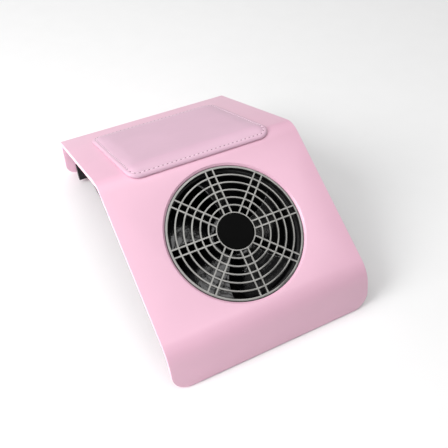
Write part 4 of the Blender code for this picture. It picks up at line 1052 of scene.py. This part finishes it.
def make_cover_screws():
    """Countersunk screws with a cross recess, heads down."""
    for number in range(1, 5):
        node = f"cover_screw_{number}"
        centre, low, high = middle(node)
        head = (high.x - low.x) / 2.0
        shank = head / 2.0
        neck, land, tip = low.z + 1.7 * MM, low.z + 0.25 * MM, high.z - 0.6 * MM
        profile = [(0.0, high.z), (shank * 0.8, high.z), (shank, tip), (shank, neck), (head, land),
                   (head - 0.2 * MM, low.z), (0.0, low.z)]
        place_at = Matrix.Translation((centre.x, centre.y, 0.0))
        screw = turned(f"screw_{number}", profile, place_at, 48)
        turn = Matrix.Rotation(math.radians(20.0 + 31.0 * number), 4, "Z")
        arm = head * 0.55
        for reach_x, reach_y in ((arm, CROSS_HALF_WIDTH), (CROSS_HALF_WIDTH, arm)):
            tool = block(f"screw_cross_{number}", (-reach_x, -reach_y, low.z - MM),
                         (reach_x, reach_y, low.z + CROSS_DEPTH), place_at @ turn)
            boolean(screw, "DIFFERENCE", tool)
        soften(screw, SMALL_EDGE, 2)
        show(screw, FINISHES["steel"], "collector", slots[node], node)


def out_of_side(centre):
    """The matrix that turns a profile's axis so that it points out of the right side."""
    return Matrix.Translation((0.0, centre.y, centre.z)) @ Matrix.Rotation(math.pi / 2.0, 4, "Y")


def make_knob():
    """A fluted knob with a pale pointer line let into its face."""
    centre, low, high = middle("speed_knob")
    axis = out_of_side(centre)
    outer, inner = high.x, low.x
    wide = (high.y - low.y) / 2.0
    narrow = wide - KNOB_TAPER
    face, round_off, chamfer = outer - 0.25 * MM, 0.9 * MM, 0.3 * MM
    skirt, skirt_edge = inner + 2.6 * MM, inner + 2.2 * MM
    hollow, hollow_roof = 6.8 * MM, inner + 2.3 * MM
    bore, bore_roof = 3.3 * MM, outer - 2.2 * MM
    profile = [(0.0, face), (narrow - 2.2 * MM, face), (narrow - 1.6 * MM, outer)]
    profile += arc((narrow - round_off, outer - round_off), round_off, math.radians(80.0),
                   math.radians(10.0), 5)
    profile += [(narrow + 0.1 * MM, outer - 1.6 * MM), (wide - 0.5 * MM, skirt), (wide, skirt_edge),
                (wide, inner + chamfer), (wide - chamfer, inner), (hollow, inner), (hollow, hollow_roof),
                (bore, hollow_roof), (bore, bore_roof), (0.0, bore_roof)]
    knob = turned("knob_fine", profile, axis, 120)
    for number in range(KNOB_FLUTES):
        turn = Matrix.Rotation(math.tau * (number + 0.5) / KNOB_FLUTES, 4, "Z")
        place_at = axis @ turn @ Matrix.Translation((wide + FLUTE_OFFSET, 0.0, 0.0))
        outline = circle(FLUTE_RADIUS, 12)
        groove = plate(f"knob_flute_{number}", [outline], skirt + chamfer, outer + MM, place_at)
        boolean(knob, "DIFFERENCE", groove)
    channel = block("knob_channel", (-wide, -CHANNEL_HALF, outer - CHANNEL_DEPTH),
                    (-CHANNEL_END, CHANNEL_HALF, outer + MM), axis)
    boolean(knob, "DIFFERENCE", channel)
    soften(knob, SMALL_EDGE, 2, STEEP_ANGLE)
    show(knob, plastic_black, "knob", slots["speed_knob"], "speed_knob")
    line = block("knob_line", (-narrow + 0.6 * MM, -0.5 * MM, outer - 0.78 * MM),
                 (-3.65 * MM, 0.5 * MM, outer - 0.1 * MM), axis)
    soften(line, 0.15 * MM, 3)
    show(line, pointer_white, "knob", slots["speed_knob"])


def make_jack():
    """The inlet socket: a barrel with a chamfered mouth and bezel, and a centre pin."""
    centre, low, high = middle("inlet_jack")
    axis = out_of_side(centre)
    front = high.x
    face = front - 2.0 * MM
    floor = face - 9.0 * MM
    mouth, flare = 3.0 * MM, 0.5 * MM
    bezel, bezel_front, bezel_back = 5.5 * MM, 0.4 * MM, 0.2 * MM
    barrel, hole = 3.9 * MM, 1.4 * MM
    body = [(hole, floor), (mouth, floor), (mouth, front - flare), (mouth + flare, front),
            (bezel - bezel_front, front), (bezel, front - bezel_front), (bezel, face + bezel_back),
            (bezel - bezel_back, face), (barrel, face), (barrel, low.x), (hole, low.x)]
    jack = smooth(turned("jack_fine", body, axis, 72))
    show(jack, plastic_black, "collector", slots["inlet_jack"], "inlet_jack")
    pin_radius, pin_round = 1.0 * MM, 0.6 * MM
    pin_top, pin_root = front - MM, floor - 2.0 * MM
    profile = [(0.0, pin_top)]
    profile += arc((pin_radius - pin_round, pin_top - pin_round), pin_round, math.radians(80.0), 0.0, 5)
    profile += [(pin_radius, pin_root), (0.0, pin_root)]
    pin = smooth(turned("jack_pin", profile, axis, 48))
    show(pin, FINISHES["steel"], "collector", slots["inlet_jack"])


make_feet()
make_cover_screws()
make_knob()
make_jack()

# ---- finer materials on the pieces kept as they are
for node, name in slots.items():
    carried = bpy.data.objects[node]
    if not carried.hide_render:
        carried.data.materials.clear()
        carried.data.materials.append(FINISHES[name])
        smooth(carried)


# ---- light and floor
WORLD_STRENGTH = 0.10
FLOOR_SIZE = 6.0
FLOOR_DROP = 0.2 * MM


def add_light(name, location, aim, size, power):
    """A rectangular lamp that faces its aim, its size in metres and its power in watts."""
    lamp = bpy.data.lights.new(name, "AREA")
    lamp.shape = "RECTANGLE"
    lamp.size, lamp.size_y = size
    lamp.energy = power
    made = bpy.data.objects.new(name, lamp)
    made.location = location
    made.rotation_euler = (Vector(aim) - Vector(location)).to_track_quat("-Z", "Y").to_euler()
    scene.collection.objects.link(made)


def add_studio():
    """A white room: a broad lamp overhead, a key and a small card of light at the left, and a floor."""
    scene.view_settings.view_transform = "Standard"
    world = bpy.data.worlds.new("studio")
    world.use_nodes = True
    backdrop = world.node_tree.nodes["Background"]
    backdrop.inputs["Color"].default_value = (1.0, 1.0, 1.0, 1.0)
    backdrop.inputs["Strength"].default_value = WORLD_STRENGTH
    scene.world = world
    add_light("overhead", (0.0, -0.06, 2.4), aim=(0.0, -0.06, 0.0), size=(3.3, 3.3), power=51.0)
    add_light("side_card", (-0.50, 0.0, 0.065), aim=(-0.06, 0.13, 0.03), size=(0.24, 0.10), power=1.1)
    add_light("key", (-1.75, -0.06, 1.35), aim=(0.0, 0.0, 0.05), size=(1.2, 1.2), power=33.0)
    builder = bmesh.new()
    bmesh.ops.create_grid(builder, x_segments=2, y_segments=2, size=FLOOR_SIZE)
    floor = link("floor", mesh_from(builder, "floor"))
    floor.location.z = -FLOOR_DROP
    floor.data.materials.append(moulded("floor_white", (0.985, 0.985, 0.985), 0.65, mottle=0.004, grain=0.0))


add_studio()
